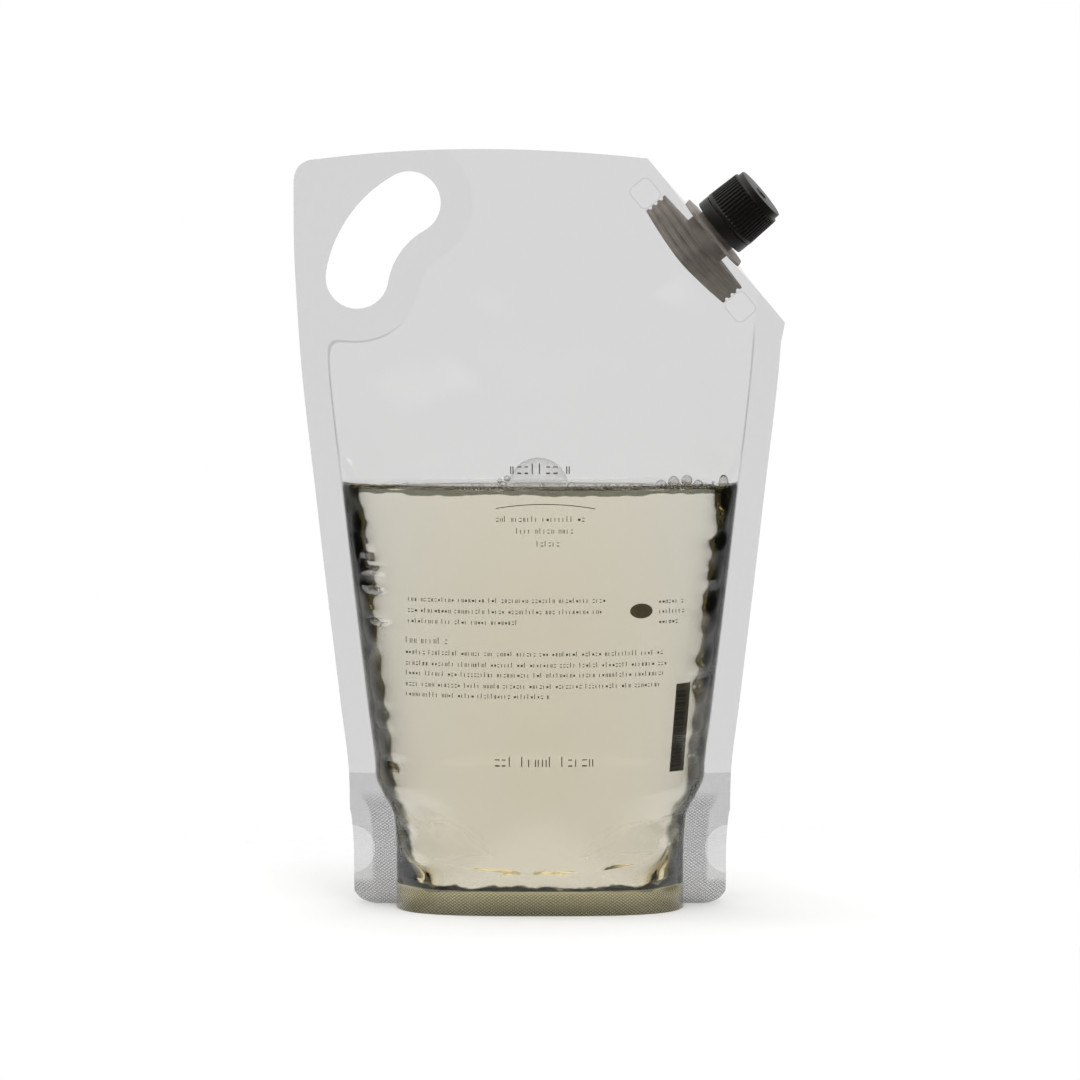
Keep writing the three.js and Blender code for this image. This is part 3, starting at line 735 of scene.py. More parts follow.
# Closed profiles of the turned parts, as (radius, height over the boat's foot) in millimetres
TUBE = ((0, 0.2), (8.6, 0.2), (8.6, 9.9), (9.5, 9.9), (9.5, 14.8), (8.6, 14.8), (8.6, 20.7), (9.9, 20.8),
        (8.6, 21.7), (8.6, 35.8), (0, 35.8))
BORE = ((0, -1), (7.6, -1), (7.6, 37), (0, 37))
CAP_INSIDE = ((0, 36.3), (6.4, 36.3), (6.45, 33.4), (7.25, 33.4), (7.3, 36.3), (10.1, 36.3), (10.1, 22.3),
              (11.65, 22.3), (11.65, 23.6))
CAP_TOP = ((11.15, 35.1), (11.1, 35.4), (10.35, 35.45), (10.25, 37.8), (2.6, 37.75), (2.45, 38.3), (0, 38.3))
RING = ((9.1, 18.4), (9.6, 17.8), (11.5, 17.8), (11.55, 22.0), (10.45, 22.0), (10.45, 19.6), (9.1, 19.4))
# The cap's ribbed skirt: lower and upper end, radius at the foot, how far it narrows, and the ribs' depth
SKIRT_FOOT, SKIRT_TOP, SKIRT_RADIUS, SKIRT_TAPER, RIB_DEPTH = 23.7, 35.0, 11.62, 0.42, 0.5
THREAD_START, THREAD_WIDTH = 24.2, 1.0


def spout_fitment(name, material):
    """The spout: boat, neck, flange and thread in one moulding, with its bore."""
    lead = bpy.context.scene.refill_cap.lead
    spout = weld_boat(name, material)
    combine(spout, flange_plate("flange"), "UNION")
    combine(spout, turned("tube", filleted(TUBE, 0.35), 144), "UNION")
    combine(spout, thread_ridge("thread", 8.6, 9.55, THREAD_START, 3.1, lead, THREAD_WIDTH), "UNION")
    combine(spout, turned("bore", BORE, 144), "DIFFERENCE")
    finish_shading(spout, 32)
    return spout


def ribbed_cap(name, material):
    """The screw cap with its ribbed skirt, plug seal and inner thread."""
    settings = bpy.context.scene.refill_cap
    profile = filleted(CAP_INSIDE, 0.25)
    steps = 26
    for k in range(steps + 1):
        t = k / steps
        height = SKIRT_FOOT + t * (SKIRT_TOP - SKIRT_FOOT)
        swell = float(smoothstep(t / 0.05) * smoothstep((1 - t) / 0.035))
        profile.append((SKIRT_RADIUS - SKIRT_TAPER * t, height, RIB_DEPTH * swell))
    profile += filleted(CAP_TOP, 0.3)
    cap = turned(name, profile, settings.ribs * 12, material, settings.ribs)
    lead = settings.lead
    thread = thread_ridge("thread", 10.1, 9.3, THREAD_START + lead / 2, 2.6, lead, THREAD_WIDTH)
    combine(cap, thread, "UNION")
    finish_shading(cap, 32)
    return cap


def tamper_ring(name, material):
    """The tamper ring, with the thin bridges that tear when the cap is first turned."""
    ring = turned(name, filleted(RING, 0.22), 144, material)
    count = bpy.context.scene.refill_cap.bridges
    for k in range(count):
        angle = 2 * math.pi * (k + 0.3) / count
        turn = np.array([(math.cos(angle), -math.sin(angle)), (math.sin(angle), math.cos(angle))])
        corners = [(x, y, z) for z in (21.6, 22.27) for y in (-0.35, 0.35) for x in (10.7, 11.42)]
        moved = [tuple(turn @ np.array(c[:2]) * (1 if c[2] < 22 else 0.995)) + (c[2],) for c in corners]
        combine(ring, mesh_object("bridge", place_on_spout(moved), BOX_FACES), "UNION")
    finish_shading(ring, 32)
    return ring


# ---------------------------------------------------------------- froth


def bubble_shell(name, centre, radius, squash, wall, material, floor):
    """A thin-walled bubble that stands on the liquid: a closed dome from the level upwards."""
    rows, steps = max(8, int(radius * 5)), max(20, int(radius * 12))
    start = math.asin(max(-0.95, min(0.9, (floor - centre[2]) / (radius * squash))))
    latitudes = np.linspace(start, math.pi / 2, rows)
    skins = []
    for r in (radius, radius - wall):
        skin = [(r * math.cos(a), centre[2] + r * squash * math.sin(a)) for a in latitudes[:-1]]
        skins.append(skin + [(0, centre[2] + r * squash)])
    body = turned(name, skins[0] + skins[1][::-1], steps, material, place=False)
    body.data.transform(Matrix.Translation((centre[0] * MM, centre[1] * MM, 0)))
    return body


def join(pieces, name):
    """Many meshes made into one."""
    with bpy.context.temp_override(active_object=pieces[0], selected_editable_objects=pieces,
                                   selected_objects=pieces):
        bpy.ops.object.join()
    pieces[0].name = name
    pieces[0].data.name = name
    return pieces[0]


# Larger bubbles by the front film: place along the width, height over the liquid, radius, share of height
BUBBLES = (
    (-0.6, 0.3, 10.9, 1.0), (-13.4, 1.2, 1.7, 1.1), (-15.6, 0.6, 1.3, 1.0), (-11.9, 4.0, 1.2, 1.0),
    (-14.6, 3.2, 0.9, 1.0), (-17.6, 0.4, 1.0, 1.0), (-19.3, 0.3, 0.8, 1.0), (11.4, 0.9, 1.7, 1.1),
    (14.4, 0.3, 1.3, 1.0), (17.2, 0.3, 1.1, 1.0), (20.0, 0.3, 1.0, 1.0), (22.6, 0.4, 1.3, 1.1),
    (26.3, 0.6, 2.1, 0.8), (30.3, 0.3, 1.2, 1.0), (33.4, 0.4, 1.5, 1.0), (36.7, 0.4, 1.4, 1.0),
    (40.0, 0.5, 1.4, 1.0), (44.0, 1.0, 2.2, 1.0), (48.6, 2.2, 2.1, 1.1), (46.4, 0.3, 1.0, 1.0),
    (53.4, 2.6, 2.1, 1.0), (51.0, 0.4, 1.1, 1.0), (57.6, 0.9, 1.8, 1.1), (60.8, 0.3, 1.1, 1.0),
    (67.0, 1.0, 1.9, 1.7),
)


def small_bubbles(pick):
    """Rows of fine froth between the larger bubbles, thickest on the left of the big one."""
    spots = []
    x = -52.0
    while x < 64:
        radius = pick.uniform(0.35, 0.75)
        spots.append((x, pick.uniform(-0.2, 0.5), radius, pick.uniform(0.9, 1.15)))
        if pick.random() < 0.45:
            spots.append((x + pick.uniform(-0.4, 0.4), pick.uniform(0.9, 1.7), radius * 0.8, 1.0))
        x += radius * pick.uniform(1.5, 2.1)
    return spots


def froth(name, material):
    """All bubbles that lie on the liquid along the front film."""
    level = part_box("hand_wash")[1][2] / MM + MENISCUS_RISE * 0.45
    pick = random.Random(5)
    spots = list(BUBBLES) + small_bubbles(pick)
    bubbles = []
    for i, (x, up, radius, tall) in enumerate(spots):
        middle = level + up
        room = float(bulge(np.array(x), middle)) - radius - 0.25
        y = -max(room, 0) + float(lean(np.array(x), level))
        wall = 0.12 if radius > 5 else radius * 0.5 if radius < 0.8 else min(0.4, radius * 0.24)
        bubbles.append(bubble_shell(f"bubble_{i}", (x, y, middle), radius, tall, wall, material, level - 0.3))
    return join(bubbles, name)


# ---------------------------------------------------------------- print


class Ink:
    """Collects printed shapes that lie on the outside of the front film."""

    def __init__(self):
        self.points, self.faces = [], []
        self.rows = {}

    def film_y(self, x, z):
        key = round(z * 4)
        if key not in self.rows:
            level = key / 4
            line = offset_line(level_line(level, PANEL_STEPS, True), stack_half(level) + FILM + 0.05)
            self.rows[key] = line
        line = self.rows[key]
        return float(np.interp(x, line[:, 0], line[:, 1]) + lean(x, z))

    def strip(self, path):
        """A printed band from pairs of (x, z) points, the lower edge's and the upper edge's."""
        start = len(self.points)
        for low, high in path:
            for x, z in (low, high):
                self.points.append((x, self.film_y(x, z), z))
        for k in range(len(path) - 1):
            a = start + 2 * k
            self.faces.append((a, a + 2, a + 3, a + 1))

    def block(self, x0, z0, x1, z1):
        count = max(1, int(math.ceil((x1 - x0) / 2.0)))
        rise = max(1, int(math.ceil((z1 - z0) / 3.0)))
        for r in range(rise):
            low, high = (z0 + (z1 - z0) * k / rise for k in (r, r + 1))
            self.strip([((x, low), (x, high)) for x in np.linspace(x0, x1, count + 1)])

    def words(self, x0, x1, z, height, pitch, pick):
        """A line of bars and blocks grouped like words, with no letters in it."""
        x = x0
        while x < x1 - pitch:
            for _ in range(pick.randint(3, 10)):
                if x + pitch > x1:
                    break
                stroke = max(0.26, height * 0.15)
                kind = pick.random() * (0.8 if height > 2 else 1.0)
                wide = pitch * pick.uniform(0.45, 0.7)
                if kind < 0.4:
                    self.block(x, z, x + stroke, z + height * (1.4 if pick.random() < 0.4 else 1.0))
                elif kind < 0.6:
                    self.block(x, z, x + wide, z + stroke * 1.3)
                    self.block(x, z + height - stroke, x + wide, z + height)
                elif kind < 0.8:
                    self.block(x, z, x + stroke, z + height)
                    self.block(x + wide - stroke, z, x + wide, z + height)
                else:
                    self.block(x, z + height * 0.2, x + wide, z + height * 0.8)
                x += pitch
            x += pitch * 0.8


# Lines of print: left and right end, height of the base line, height and pitch of the marks
PRINT_LINES = (
    (-10.8, 13.9, 159.8, 2.7, 2.6), (-15.9, 17.8, 142.7, 1.4, 1.45), (-8.6, 13.6, 138.5, 1.4, 1.45),
    (-1.2, 7.6, 133.9, 1.4, 1.45), (-47.9, 24.2, 113.6, 1.25, 1.25), (-47.9, 23.6, 109.6, 1.25, 1.25),
    (-47.9, -6.8, 105.7, 1.25, 1.25), (43.2, 53.0, 112.8, 1.25, 1.2), (43.2, 53.1, 109.2, 1.25, 1.2),
    (43.2, 52.2, 105.5, 1.25, 1.2), (-48.7, -32.6, 98.4, 1.6, 1.5), (-48.7, 45.2, 94.4, 1.25, 1.22),
    (-48.7, 46.9, 90.4, 1.25, 1.22), (-48.7, 46.9, 86.8, 1.25, 1.22), (-48.7, 44.3, 82.8, 1.25, 1.22),
    (-48.7, 4.7, 79.1, 1.25, 1.22), (-16.3, 22.4, 54.6, 2.6, 2.5),
)


def pack_print(name, materials):
    """Plain greeked print: rows of marks, a thin curved rule, a plain pebble, and a generic bar field."""
    pick = random.Random(23)
    ink = Ink()
    for left, right, z, height, pitch in PRINT_LINES:
        ink.words(left, right, z, height, pitch, pick)
    rule = [(x, 147.0 + 1.8 * (1 - ((x - 1.5) / 19) ** 2)) for x in np.linspace(-16, 20, 25)]
    ink.strip([((x, z), (x, z + 0.3)) for x, z in rule])
    pebble = [(4.1 * math.sin(a), 110.3 - 2.7 * math.cos(a)) for a in np.linspace(0, math.pi, 17)]
    ink.strip([((36.7 - half, z), (36.7 + half, z)) for half, z in pebble])
    lettering = mesh_object(name, ink.points, ink.faces, materials[0])
    field = Ink()
    heights = zip(range(0, 33, 2), np.linspace(0, 2.6, 17))
    field.strip([((47.0 + slant, 51.2 + z), (52.2 + slant, 51.2 + z)) for z, slant in heights])
    boxed = mesh_object("bar_field", field.points, field.faces, materials[1])
    bars = Ink()
    z = 51.7
    while z < 81.4:
        width = pick.choice((0.35, 0.35, 0.7, 1.05))
        slant = (z - 51.2) * 0.081
        bars.block(47.5 + slant, z, 51.0 + slant, min(z + width, 81.6))
        z += width + pick.choice((0.35, 0.35, 0.7, 0.7))
    bars.points = [(x, y - 0.03, up) for x, y, up in bars.points]
    stripes = mesh_object("bars", bars.points, bars.faces, materials[2])
    return lettering, boxed, stripes


# ---------------------------------------------------------------- materials


def add(tree, kind, *inputs, **settings):
    """A node with its settings. Inputs stand in order or by name: values, outputs, or nodes."""
    node = tree.nodes.new("ShaderNode" + kind)
    for name, value in settings.items():
        setattr(node, name, value)
    named = inputs[0] if inputs and isinstance(inputs[0], dict) else dict(enumerate(inputs))
    for name, value in named.items():
        if isinstance(value, bpy.types.Node):
            value = next(output for output in value.outputs if output.enabled)
        if isinstance(value, bpy.types.NodeSocket):
            tree.links.new(value, node.inputs[name])
        else:
            node.inputs[name].default_value = value
    return node


PLUS, MINUS, TIMES = {"operation": "ADD"}, {"operation": "SUBTRACT"}, {"operation": "MULTIPLY"}
LARGER, SIZE = {"operation": "MAXIMUM"}, {"operation": "ABSOLUTE"}
SMOOTH = {"interpolation_type": "SMOOTHSTEP"}
COLOUR = {"data_type": "RGBA"}


def blank_material(name):
    """An empty material with its node tree and the object's own place, in metres."""
    made = bpy.data.materials.new(name)
    made.use_nodes = True
    tree = made.node_tree
    tree.nodes.clear()
    return made, tree, add(tree, "TexCoord").outputs["Object"]


def zone(tree, *limits):
    """How far each value lies inside its limit, all together, from (value, outside, inside) limits."""
    share = None
    for value, outside, inside in limits:
        step = add(tree, "MapRange", value, outside, inside, **SMOOTH)
        share = add(tree, "Math", share, step, **TIMES) if share else step
    return share


def diamonds(tree, u, v):
    """Pressed diamonds of a heat-seal bar, 1.6 mm wide and 1.1 mm tall: high on their edges."""
    across = add(tree, "Math", u, math.pi / 0.0016, **TIMES)
    up = add(tree, "Math", v, math.pi / 0.0011, **TIMES)
    lines = []
    for way in (PLUS, MINUS):
        wave = add(tree, "Math", add(tree, "Math", across, up, **way), operation="SINE")
        lines.append(add(tree, "Math", wave, **SIZE))
    nearest = add(tree, "Math", *lines, operation="MINIMUM")
    return add(tree, "MapRange", nearest, 0.15, 0.6, 1.0, 0.0, **SMOOTH)


def pressed_patches(tree, place):
    """Round-cornered marks of the welding jaws beside both tips of the boat: inside, and on their line."""
    moved = add(tree, "Mapping", place, tuple(-SPOUT.translation * MM), vector_type="POINT")
    spun = add(tree, "VectorRotate", {"Vector": moved, "Angle": -SPOUT_TURN}, rotation_type="Y_AXIS")
    parts = add(tree, "SeparateXYZ", spun)
    along = add(tree, "Math", add(tree, "Math", parts.outputs["X"], **SIZE), 0.0270, **MINUS)
    up = add(tree, "Math", parts.outputs["Z"], 0.0052, **MINUS)
    squares = []
    for offset, half in ((along, 0.0025), (up, 0.0022)):
        past = add(tree, "Math", add(tree, "Math", offset, **SIZE), half, **MINUS)
        past = add(tree, "Math", past, 0.0, **LARGER)
        squares.append(add(tree, "Math", past, past, **TIMES))
    far = add(tree, "Math", add(tree, "Math", *squares, **PLUS), operation="SQRT")
    return zone(tree, (far, 0.0022, 0.0019)), zone(tree, (far, 0.0026, 0.0023), (far, 0.0018, 0.0022))


def painted_liquid_edge_shade(tree, place, u, v, past):
    """Painted shade: dark lines painted where the liquid is seen edge-on, over the foot seal, down the flanks
    and on its surface, standing in for light that the liquid bends away.
    """
    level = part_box("hand_wash")[1][2]
    # uneven by 3 mm, in waves of about 9 mm
    ripple = add(tree, "TexNoise", {"Vector": place, "Scale": 110.0, "Detail": 2.0})
    swell = add(tree, "Math", add(tree, "Math", ripple, 0.5, **MINUS), 0.006, **TIMES)
    # painted shade: the line over the foot seal rises towards the foot's corners, which are painted dark
    # there
    rise = add(tree, "MapRange", add(tree, "Math", u, **SIZE), 0.044, 0.068, 0.0104, 0.025, **SMOOTH)
    over = add(tree, "Math", v, add(tree, "Math", rise, swell, **PLUS), **MINUS)
    curl = zone(tree, (over, 0.0006, -0.0004), (v, 0.0088, 0.0094))
    inwards = add(tree, "Math", past, swell, **PLUS)
    flank = zone(tree, (inwards, -0.0068, -0.0042), (v, level, level - 0.0008), (v, 0.0088, 0.0094))
    thick = add(tree, "MapRange", ripple, 0.35, 0.65, 0.0004, 0.0013)
    off = add(tree, "Math", add(tree, "Math", v, level, **MINUS), **SIZE)
    surface = zone(tree, (add(tree, "Math", off, thick, **MINUS), 0.0003, -0.0001))
    # painted shade: the strongest of the three painted dark lines wins
    dark = curl
    for line, strength in ((surface, 0.62), (flank, 0.74)):
        dark = add(tree, "Math", dark, add(tree, "Math", line, strength, **TIMES), **LARGER)
    return add(tree, "Math", dark, zone(tree, (past, 0.0003, -0.0003)), **TIMES)


def film_relief(tree, place, pressed):
    """Orange peel of blown film, 3 mm from crest to crest, over waves of 40 mm, with the pressed seal."""
    peel = add(tree, "TexNoise", {"Vector": place, "Scale": 320.0, "Detail": 2.0})
    waves = add(tree, "TexNoise", {"Vector": place, "Scale": 25.0, "Detail": 1.0})
    height = add(tree, "Math", add(tree, "Math", peel, 0.05, **TIMES), waves, **PLUS)
    soft = add(tree, "Bump", {"Height": height, "Strength": 0.5, "Distance": 0.002})
    return add(tree, "Bump", {"Height": pressed, "Strength": 0.6, "Distance": 0.0003, "Normal": soft})


def laminated_film(name, knurl_depth, painted_edge_shade):
    """Blown PET and PE laminate, heat-sealed: clear, faintly grey and softly glossy, with an orange peel."""
    made, tree, place = blank_material(name)
    flat, weld = (add(tree, "SeparateXYZ", add(tree, "UVMap", uv_map=key)) for key in ("film", "weld"))
    u, v, past = flat.outputs["X"], flat.outputs["Y"], weld.outputs["X"]
    # zones: the foot's strip, the knurled corners, the weld bead down the seams, and the spout's jaw marks
    strip = zone(tree, (v, 0.0094, 0.0086), (past, 0.0006, 0.0))
    corner = zone(tree, (past, 0.0004, 0.0010), (past, 0.0098, 0.0080), (v, 0.043, 0.036))
    knurled = add(tree, "Math", zone(tree, (v, 0.0094, 0.0070)), corner, **LARGER)
    pressed = add(tree, "Math", diamonds(tree, u, v), knurled, **TIMES)
    bead = zone(tree, (past, -0.0006, -0.0001), (past, 0.0006, 0.0001))
    inside, rim = pressed_patches(tree, place)
    # painted shade: the foot strip darkens towards its lower edge, by up to 0.14; the other entries are
    # pressed marks, seals and the weld bead
    marks_and_painted_shade = (
        (strip, add(tree, "MapRange", v, 0.0098, 0.0, 0.0, 0.14, **SMOOTH)), (pressed, knurl_depth),
        (corner, 0.006), (bead, add(tree, "MapRange", v, 0.216, 0.205, 0.0, 0.07, **SMOOTH)),
        (zone(tree, (past, -0.0005, 0.0010)), 0.007), (rim, 0.035), (inside, -0.004),
    )
    light = 1.0
    for area, depth in marks_and_painted_shade:
        light = add(tree, "Math", light, add(tree, "Math", area, depth, **TIMES), **MINUS)
    grey = add(tree, "CombineColor", light, light, light)
    plain = pack_settings().film_tint
    # painted light: the foot strip is tinted lighter and warmer (FCFAF0) than the plain film
    strip_painted_light = add(tree, "Mix", {"Factor": strip, "A": plain, "B": linear("FCFAF0")}, **COLOUR)
    tint = add(tree, "Mix", {"Factor": 1.0, "A": strip_painted_light, "B": grey}, blend_type="MULTIPLY", **COLOUR)
    edge = add(tree, "Math", painted_liquid_edge_shade(tree, place, u, v, past), painted_edge_shade, **TIMES)
    # painted shade: where the liquid's edges are, the film's tint is mixed towards dark olive 4C5630
    olive = add(tree, "Mix", {"Factor": edge, "A": tint, "B": linear("4C5630")}, **COLOUR)
    clear = add(tree, "BsdfTransparent", olive)
    gloss = add(tree, "BsdfAnisotropic", {"Color": linear("FFFFFF"), "Roughness": 0.12,
                                          "Normal": film_relief(tree, place, pressed)})
    # only the face turned to the light shines: rays pass the film unbent, so its far face must not mirror
    facing = add(tree, "Math", 1.0, add(tree, "NewGeometry").outputs["Backfacing"], **MINUS)
    shine = add(tree, "Math", add(tree, "Fresnel", 1.5), facing, **TIMES)
    add(tree, "OutputMaterial", add(tree, "MixShader", shine, clear, gloss))
    return made


def hand_wash():
    """Clear poured hand wash: it bends light and deepens to olive where light goes far through it."""
    made, tree, _ = blank_material("clear_hand_wash_liquid")
    settings = pack_settings()
    glass = add(tree, "BsdfPrincipled", {"Base Color": (1, 1, 1, 1), "Roughness": 0.0,
                                         "IOR": settings.liquid_ior, "Transmission Weight": 1.0})
    depth = add(tree, "VolumeAbsorption", settings.liquid_tint, settings.liquid_density)
    add(tree, "OutputMaterial", glass, depth)
    return made


def bubble_film():
    """Soap film round trapped air: nearly invisible face on, with a dark line round each bubble."""
    made, tree, _ = blank_material("soap_bubble_film")
    glass = add(tree, "BsdfPrincipled", {"Base Color": (1, 1, 1, 1), "Roughness": 0.0, "IOR": 1.33,
                                         "Transmission Weight": 1.0})
    add(tree, "OutputMaterial", glass, add(tree, "VolumeAbsorption", linear("6B6A5C"), 450.0))
    return made


def smoky_polyethylene():
    """Injection-moulded smoky polyethylene: waxy and half clear, with faint flow lines along the ribs."""
    made, tree, place = blank_material("smoky_polyethylene_moulded")
    flow = add(tree, "TexNoise", {"Vector": place, "Scale": 180.0, "Detail": 3.0})
    tone = add(tree, "MapRange", flow, 0.3, 0.7)
    colour = add(tree, "Mix", {"Factor": tone, "A": linear("C1BBB6"), "B": linear("DDD6D0")}, **COLOUR)
    bump = add(tree, "Bump", {"Height": flow, "Strength": 0.15, "Distance": 0.0003})
    body = add(tree, "BsdfPrincipled", {"Base Color": colour, "Roughness": 0.32, "IOR": 1.51, "Normal": bump})
    through = add(tree, "BsdfTranslucent", colour)
    add(tree, "OutputMaterial", add(tree, "MixShader", 0.6, body, through))
    return made


def black_polypropylene():
    """Injection-moulded black polypropylene: satin, with a fine spark-eroded grain."""
    made, tree, place = blank_material("black_polypropylene_moulded")
    # spark-eroded grain of about 0.1 mm, drawn at 0.4 mm so that it shows
    grain = add(tree, "TexNoise", {"Vector": place, "Scale": 2500.0, "Detail": 2.0})
    bump = add(tree, "Bump", {"Height": grain, "Strength": 0.12, "Distance": 0.0001})
    rough = add(tree, "MapRange", grain, 0.0, 1.0, 0.38, 0.5)
    body = add(tree, "BsdfPrincipled", {"Base Color": linear("14120D"), "Roughness": rough, "IOR": 1.49,
                                        "Normal": bump})
    add(tree, "OutputMaterial", body)
    return made


def printed_ink(name, colour):
    """Flexographic ink on film: matt and slightly uneven, with pinholes."""
    made, tree, place = blank_material(name)
    mottle = add(tree, "TexNoise", {"Vector": place, "Scale": 1500.0, "Detail": 2.0})
    lighter = [min(1, c * 1.5 + 0.01) for c in linear(colour)[:3]] + [1]
    tone = add(tree, "Mix", {"Factor": mottle, "A": linear(colour), "B": lighter}, **COLOUR)
    add(tree, "OutputMaterial", add(tree, "BsdfPrincipled", {"Base Color": tone, "Roughness": 0.5}))
    return made


def studio_floor():
    """A white sweep: matt paper that fades into the bright backdrop."""
    made, tree, place = blank_material("white_paper_sweep")
    far = add(tree, "VectorMath", place, operation="LENGTH")
    fade = add(tree, "MapRange", far, 0.11, 0.28, 1.0, 0.0, **SMOOTH)
    grain = add(tree, "TexNoise", {"Vector": place, "Scale": 900.0, "Detail": 3.0})
    bump = add(tree, "Bump", {"Height": grain, "Strength": 0.03, "Distance": 0.0002})
    paper = add(tree, "BsdfPrincipled", {"Base Color": linear("FFFFFF"), "Roughness": 0.9,
                                         "Specular IOR Level": 0.1, "Normal": bump})
    add(tree, "OutputMaterial", add(tree, "MixShader", fade, add(tree, "BsdfTransparent"), paper))
    return made


MATERIALS = {
    # the front film carries the painted shade of the liquid's edges, the back film none
    "front_film": lambda: laminated_film("laminated_film_front", 0.25, 0.82),
    "back_film": lambda: laminated_film("laminated_film_back", 0.03, 0.0),
    "liquid": hand_wash,
    "bubbles": bubble_film,
    "spout": smoky_polyethylene,
    "cap": black_polypropylene,
    "ink": lambda: printed_ink("flexographic_ink_dark", "4A4530"),
    "ink_field": lambda: printed_ink("flexographic_ink_brown", "3B361F"),
    "ink_bars": lambda: printed_ink("flexographic_ink_black", "0D0C08"),
    "floor": studio_floor,
}
made_materials = {}


def material(name):
    """A material from the table, made when it is first asked for."""
    if name not in made_materials:
        made_materials[name] = MATERIALS[name]()
    return made_materials[name]


def attach(piece, body, slot, *nodes):
    """Parents a finished piece to its body's empty and hides the imported nodes it stands for; slot, its
    finish, is not used.
    """
    if not len(piece.data.polygons):
        raise RuntimeError(f"{piece.name}: it has no faces")
    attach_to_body(piece, body)
    if nodes:
        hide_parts(*nodes)


# ---------------------------------------------------------------- operators


class REFILL_OT_films(bpy.types.Operator):
    """Makes the front and back films of the pouch"""

    bl_idname = "refill.films"
    bl_label = "Front and Back Films"

    def execute(self, context):
        attach(film_panel("front_film", -1, material("front_film")), "pouch", "film", "front_panel")
        attach(film_panel("back_film", 1, material("back_film")), "pouch", "film", "back_panel")
        return {"FINISHED"}


class REFILL_OT_gusset(bpy.types.Operator):
    """Makes the folded gusset film that forms the foot"""

    bl_idname = "refill.gusset"
    bl_label = "Foot Gusset"

    def execute(self, context):
        attach(foot_gusset("gusset_film", material("back_film")), "pouch", "film", "bottom_gusset")
        return {"FINISHED"}


class REFILL_OT_liquid(bpy.types.Operator):
    """Makes the hand wash and the froth on it"""

    bl_idname = "refill.liquid"
    bl_label = "Hand Wash and Froth"

    def execute(self, context):
        attach(liquid_body("hand_wash_liquid", material("liquid")), "pouch", "hand_wash", "hand_wash")
        attach(froth("froth_bubbles", material("bubbles")), "pouch", "hand_wash")
        return {"FINISHED"}


class REFILL_OT_print(bpy.types.Operator):
    """Makes the plain print on the front film"""

    bl_idname = "refill.print"
    bl_label = "Front Print"

    def execute(self, context):
        inks = [material(name) for name in ("ink", "ink_field", "ink_bars")]
        for piece in pack_print("greeked_print", inks):
            attach(piece, "pouch", "film")
        return {"FINISHED"}


class REFILL_OT_spout(bpy.types.Operator):
    """Makes the moulded spout with its weld boat, flange and thread"""

    bl_idname = "refill.spout"
    bl_label = "Spout"

    def execute(self, context):
        attach(spout_fitment("moulded_spout", material("spout")), "pouch", "natural_plastic", "spout")
        return {"FINISHED"}


class REFILL_OT_closure(bpy.types.Operator):
    """Makes the ribbed screw cap and its tamper ring"""

    bl_idname = "refill.closure"
    bl_label = "Cap and Tamper Ring"

    def execute(self, context):
        attach(tamper_ring("tamper_band", material("cap")), "tamper_ring", "black_plastic", "tamper_ring")
        attach(ribbed_cap("ribbed_screw_cap", material("cap")), "cap", "black_plastic", "cap")
        return {"FINISHED"}


def studio_world():
    """A white studio: bright behind and above, with dark flats at both sides that edge the clear parts."""
    world = bpy.data.worlds.new("white_studio")
    bpy.context.scene.world = world
    world.use_nodes = True
    tree = world.node_tree
    tree.nodes.clear()
    parts = add(tree, "SeparateXYZ", add(tree, "TexCoord").outputs["Generated"])
    around = add(tree, "ValToRGB", add(tree, "MapRange", parts.outputs["Y"], -1.0, 1.0))
    ramp = around.color_ramp
    ramp.elements[0].position = 0.0
    ramp.elements[0].color = (0.10, 0.10, 0.09, 1)
    ramp.elements[1].position = 1.0
    ramp.elements[1].color = (1, 1, 1, 1)
    for position, value in ((0.3, 0.09), (0.4, 0.06), (0.62, 0.06), (0.74, 0.95)):
        stop = ramp.elements.new(position)
        stop.color = (value, value, value * 0.8 if value < 0.5 else value, 1)
    above = add(tree, "MapRange", parts.outputs["Z"], 0.6, 0.85)
    lit = add(tree, "Mix", {"Factor": above, "A": around, "B": (1.15, 1.15, 1.15, 1)}, **COLOUR)
    studio = add(tree, "Background", lit, 1.0)
    backdrop = add(tree, "Background", (1, 1, 1, 1), 1.0)
    camera_ray = add(tree, "LightPath").outputs["Is Camera Ray"]
    add(tree, "OutputWorld", add(tree, "MixShader", camera_ray, studio, backdrop))


def soft_light(name, place, target, size, power):
    """A rectangular softbox turned to a target."""
    data = bpy.data.lights.new(name, "AREA")
    data.shape = "RECTANGLE"
    data.size, data.size_y = size
    data.energy = power
    light = bpy.data.objects.new(name, data)
    light.location = place
    light.rotation_euler = (Vector(target) - Vector(place)).to_track_quat("-Z", "Y").to_euler()
    light.visible_transmission = False
    bpy.context.scene.collection.objects.link(light)
    return light


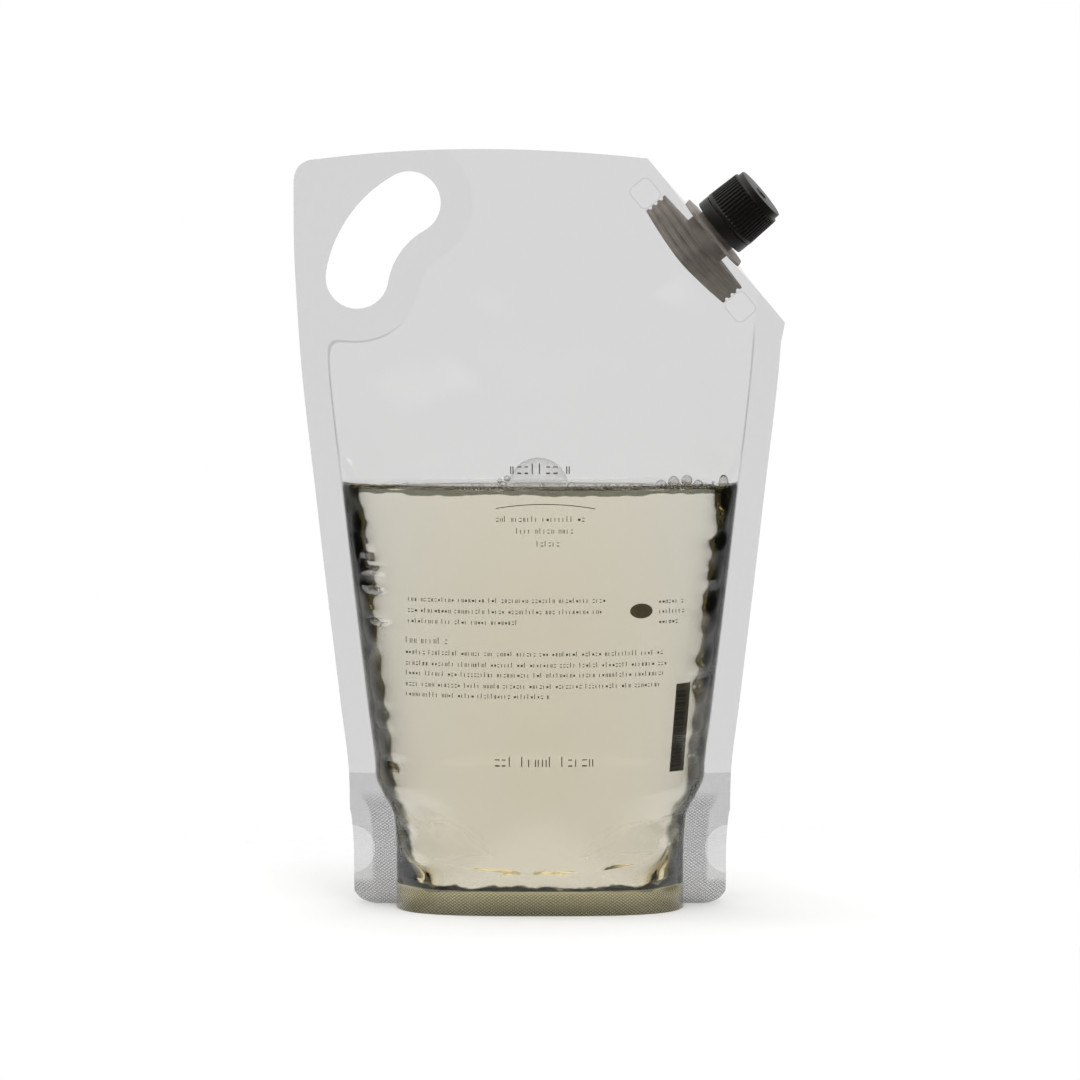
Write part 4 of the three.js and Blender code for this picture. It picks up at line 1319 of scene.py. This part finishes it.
class REFILL_OT_stage(bpy.types.Operator):
    """Makes the floor, the studio light and the camera"""

    bl_idname = "refill.stage"
    bl_label = "Studio Stage"

    def execute(self, context):
        scene = context.scene
        settings = scene.refill_stage
        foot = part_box("front_panel")[0][2] / MM
        ring = [(460 * math.cos(a), 460 * math.sin(a), foot - 0.05) for a in np.arange(96) * 2 * math.pi / 96]
        mesh_object("floor", ring, [tuple(range(96))], material("floor"))
        studio_world()
        middle = (0, 0, 0.14)
        soft_light("top_softbox", (0.1, -0.5, 1.4), middle, (1.0, 1.0), 6.0)
        soft_light("left_softbox", (-1.1, 0.2, 0.8), middle, (0.4, 0.6), 2.0)
        fill = soft_light("front_softbox", (0.5, -1.6, 0.9), middle, (0.5, 0.5), 5.0)
        fill.visible_glossy = False
        data = bpy.data.cameras.new("camera")
        camera = bpy.data.objects.new("camera", data)
        scene.collection.objects.link(camera)
        tilt = settings.elevation
        aim = Vector((0, 0, settings.aim_height))
        camera.location = aim + settings.distance * Vector((0, -math.cos(tilt), math.sin(tilt)))
        camera.rotation_euler = (math.pi / 2 - tilt, 0, 0)
        data.sensor_width = 36.0
        data.lens = data.sensor_width * settings.distance / settings.framed_width
        data.clip_end = 20
        scene.camera = camera
        scene.view_settings.view_transform = "Standard"
        scene.cycles.max_bounces = 24
        scene.cycles.transparent_max_bounces = 32
        scene.cycles.transmission_bounces = 20
        return {"FINISHED"}


OPERATORS = (REFILL_OT_films, REFILL_OT_gusset, REFILL_OT_liquid, REFILL_OT_print, REFILL_OT_spout,
             REFILL_OT_closure, REFILL_OT_stage)
GROUPS = {"refill_pack": PackSettings, "refill_cap": CapSettings, "refill_stage": StageSettings}


class REFILL_PT_panel(bpy.types.Panel):
    """Lists the pack's pieces and sizes"""

    bl_label = "Refill Pack"
    bl_idname = "REFILL_PT_panel"
    bl_space_type = "VIEW_3D"
    bl_region_type = "UI"
    bl_category = "Refill Pack"

    def draw(self, context):
        for name, group in GROUPS.items():
            box = self.layout.box()
            for field in group.__annotations__:
                box.prop(getattr(context.scene, name), field)
        for operator in OPERATORS:
            self.layout.operator(operator.bl_idname)


def register():
    for item in (*GROUPS.values(), *OPERATORS, REFILL_PT_panel):
        bpy.utils.register_class(item)
    for name, group in GROUPS.items():
        setattr(bpy.types.Scene, name, bpy.props.PointerProperty(type=group))


def unregister():
    for name in GROUPS:
        delattr(bpy.types.Scene, name)
    for item in (REFILL_PT_panel, *reversed(OPERATORS), *GROUPS.values()):
        bpy.utils.unregister_class(item)


def main():
    register()
    for operator in OPERATORS:
        group, name = operator.bl_idname.split(".")
        getattr(getattr(bpy.ops, group), name)()


if __name__ == "__main__":
    main()
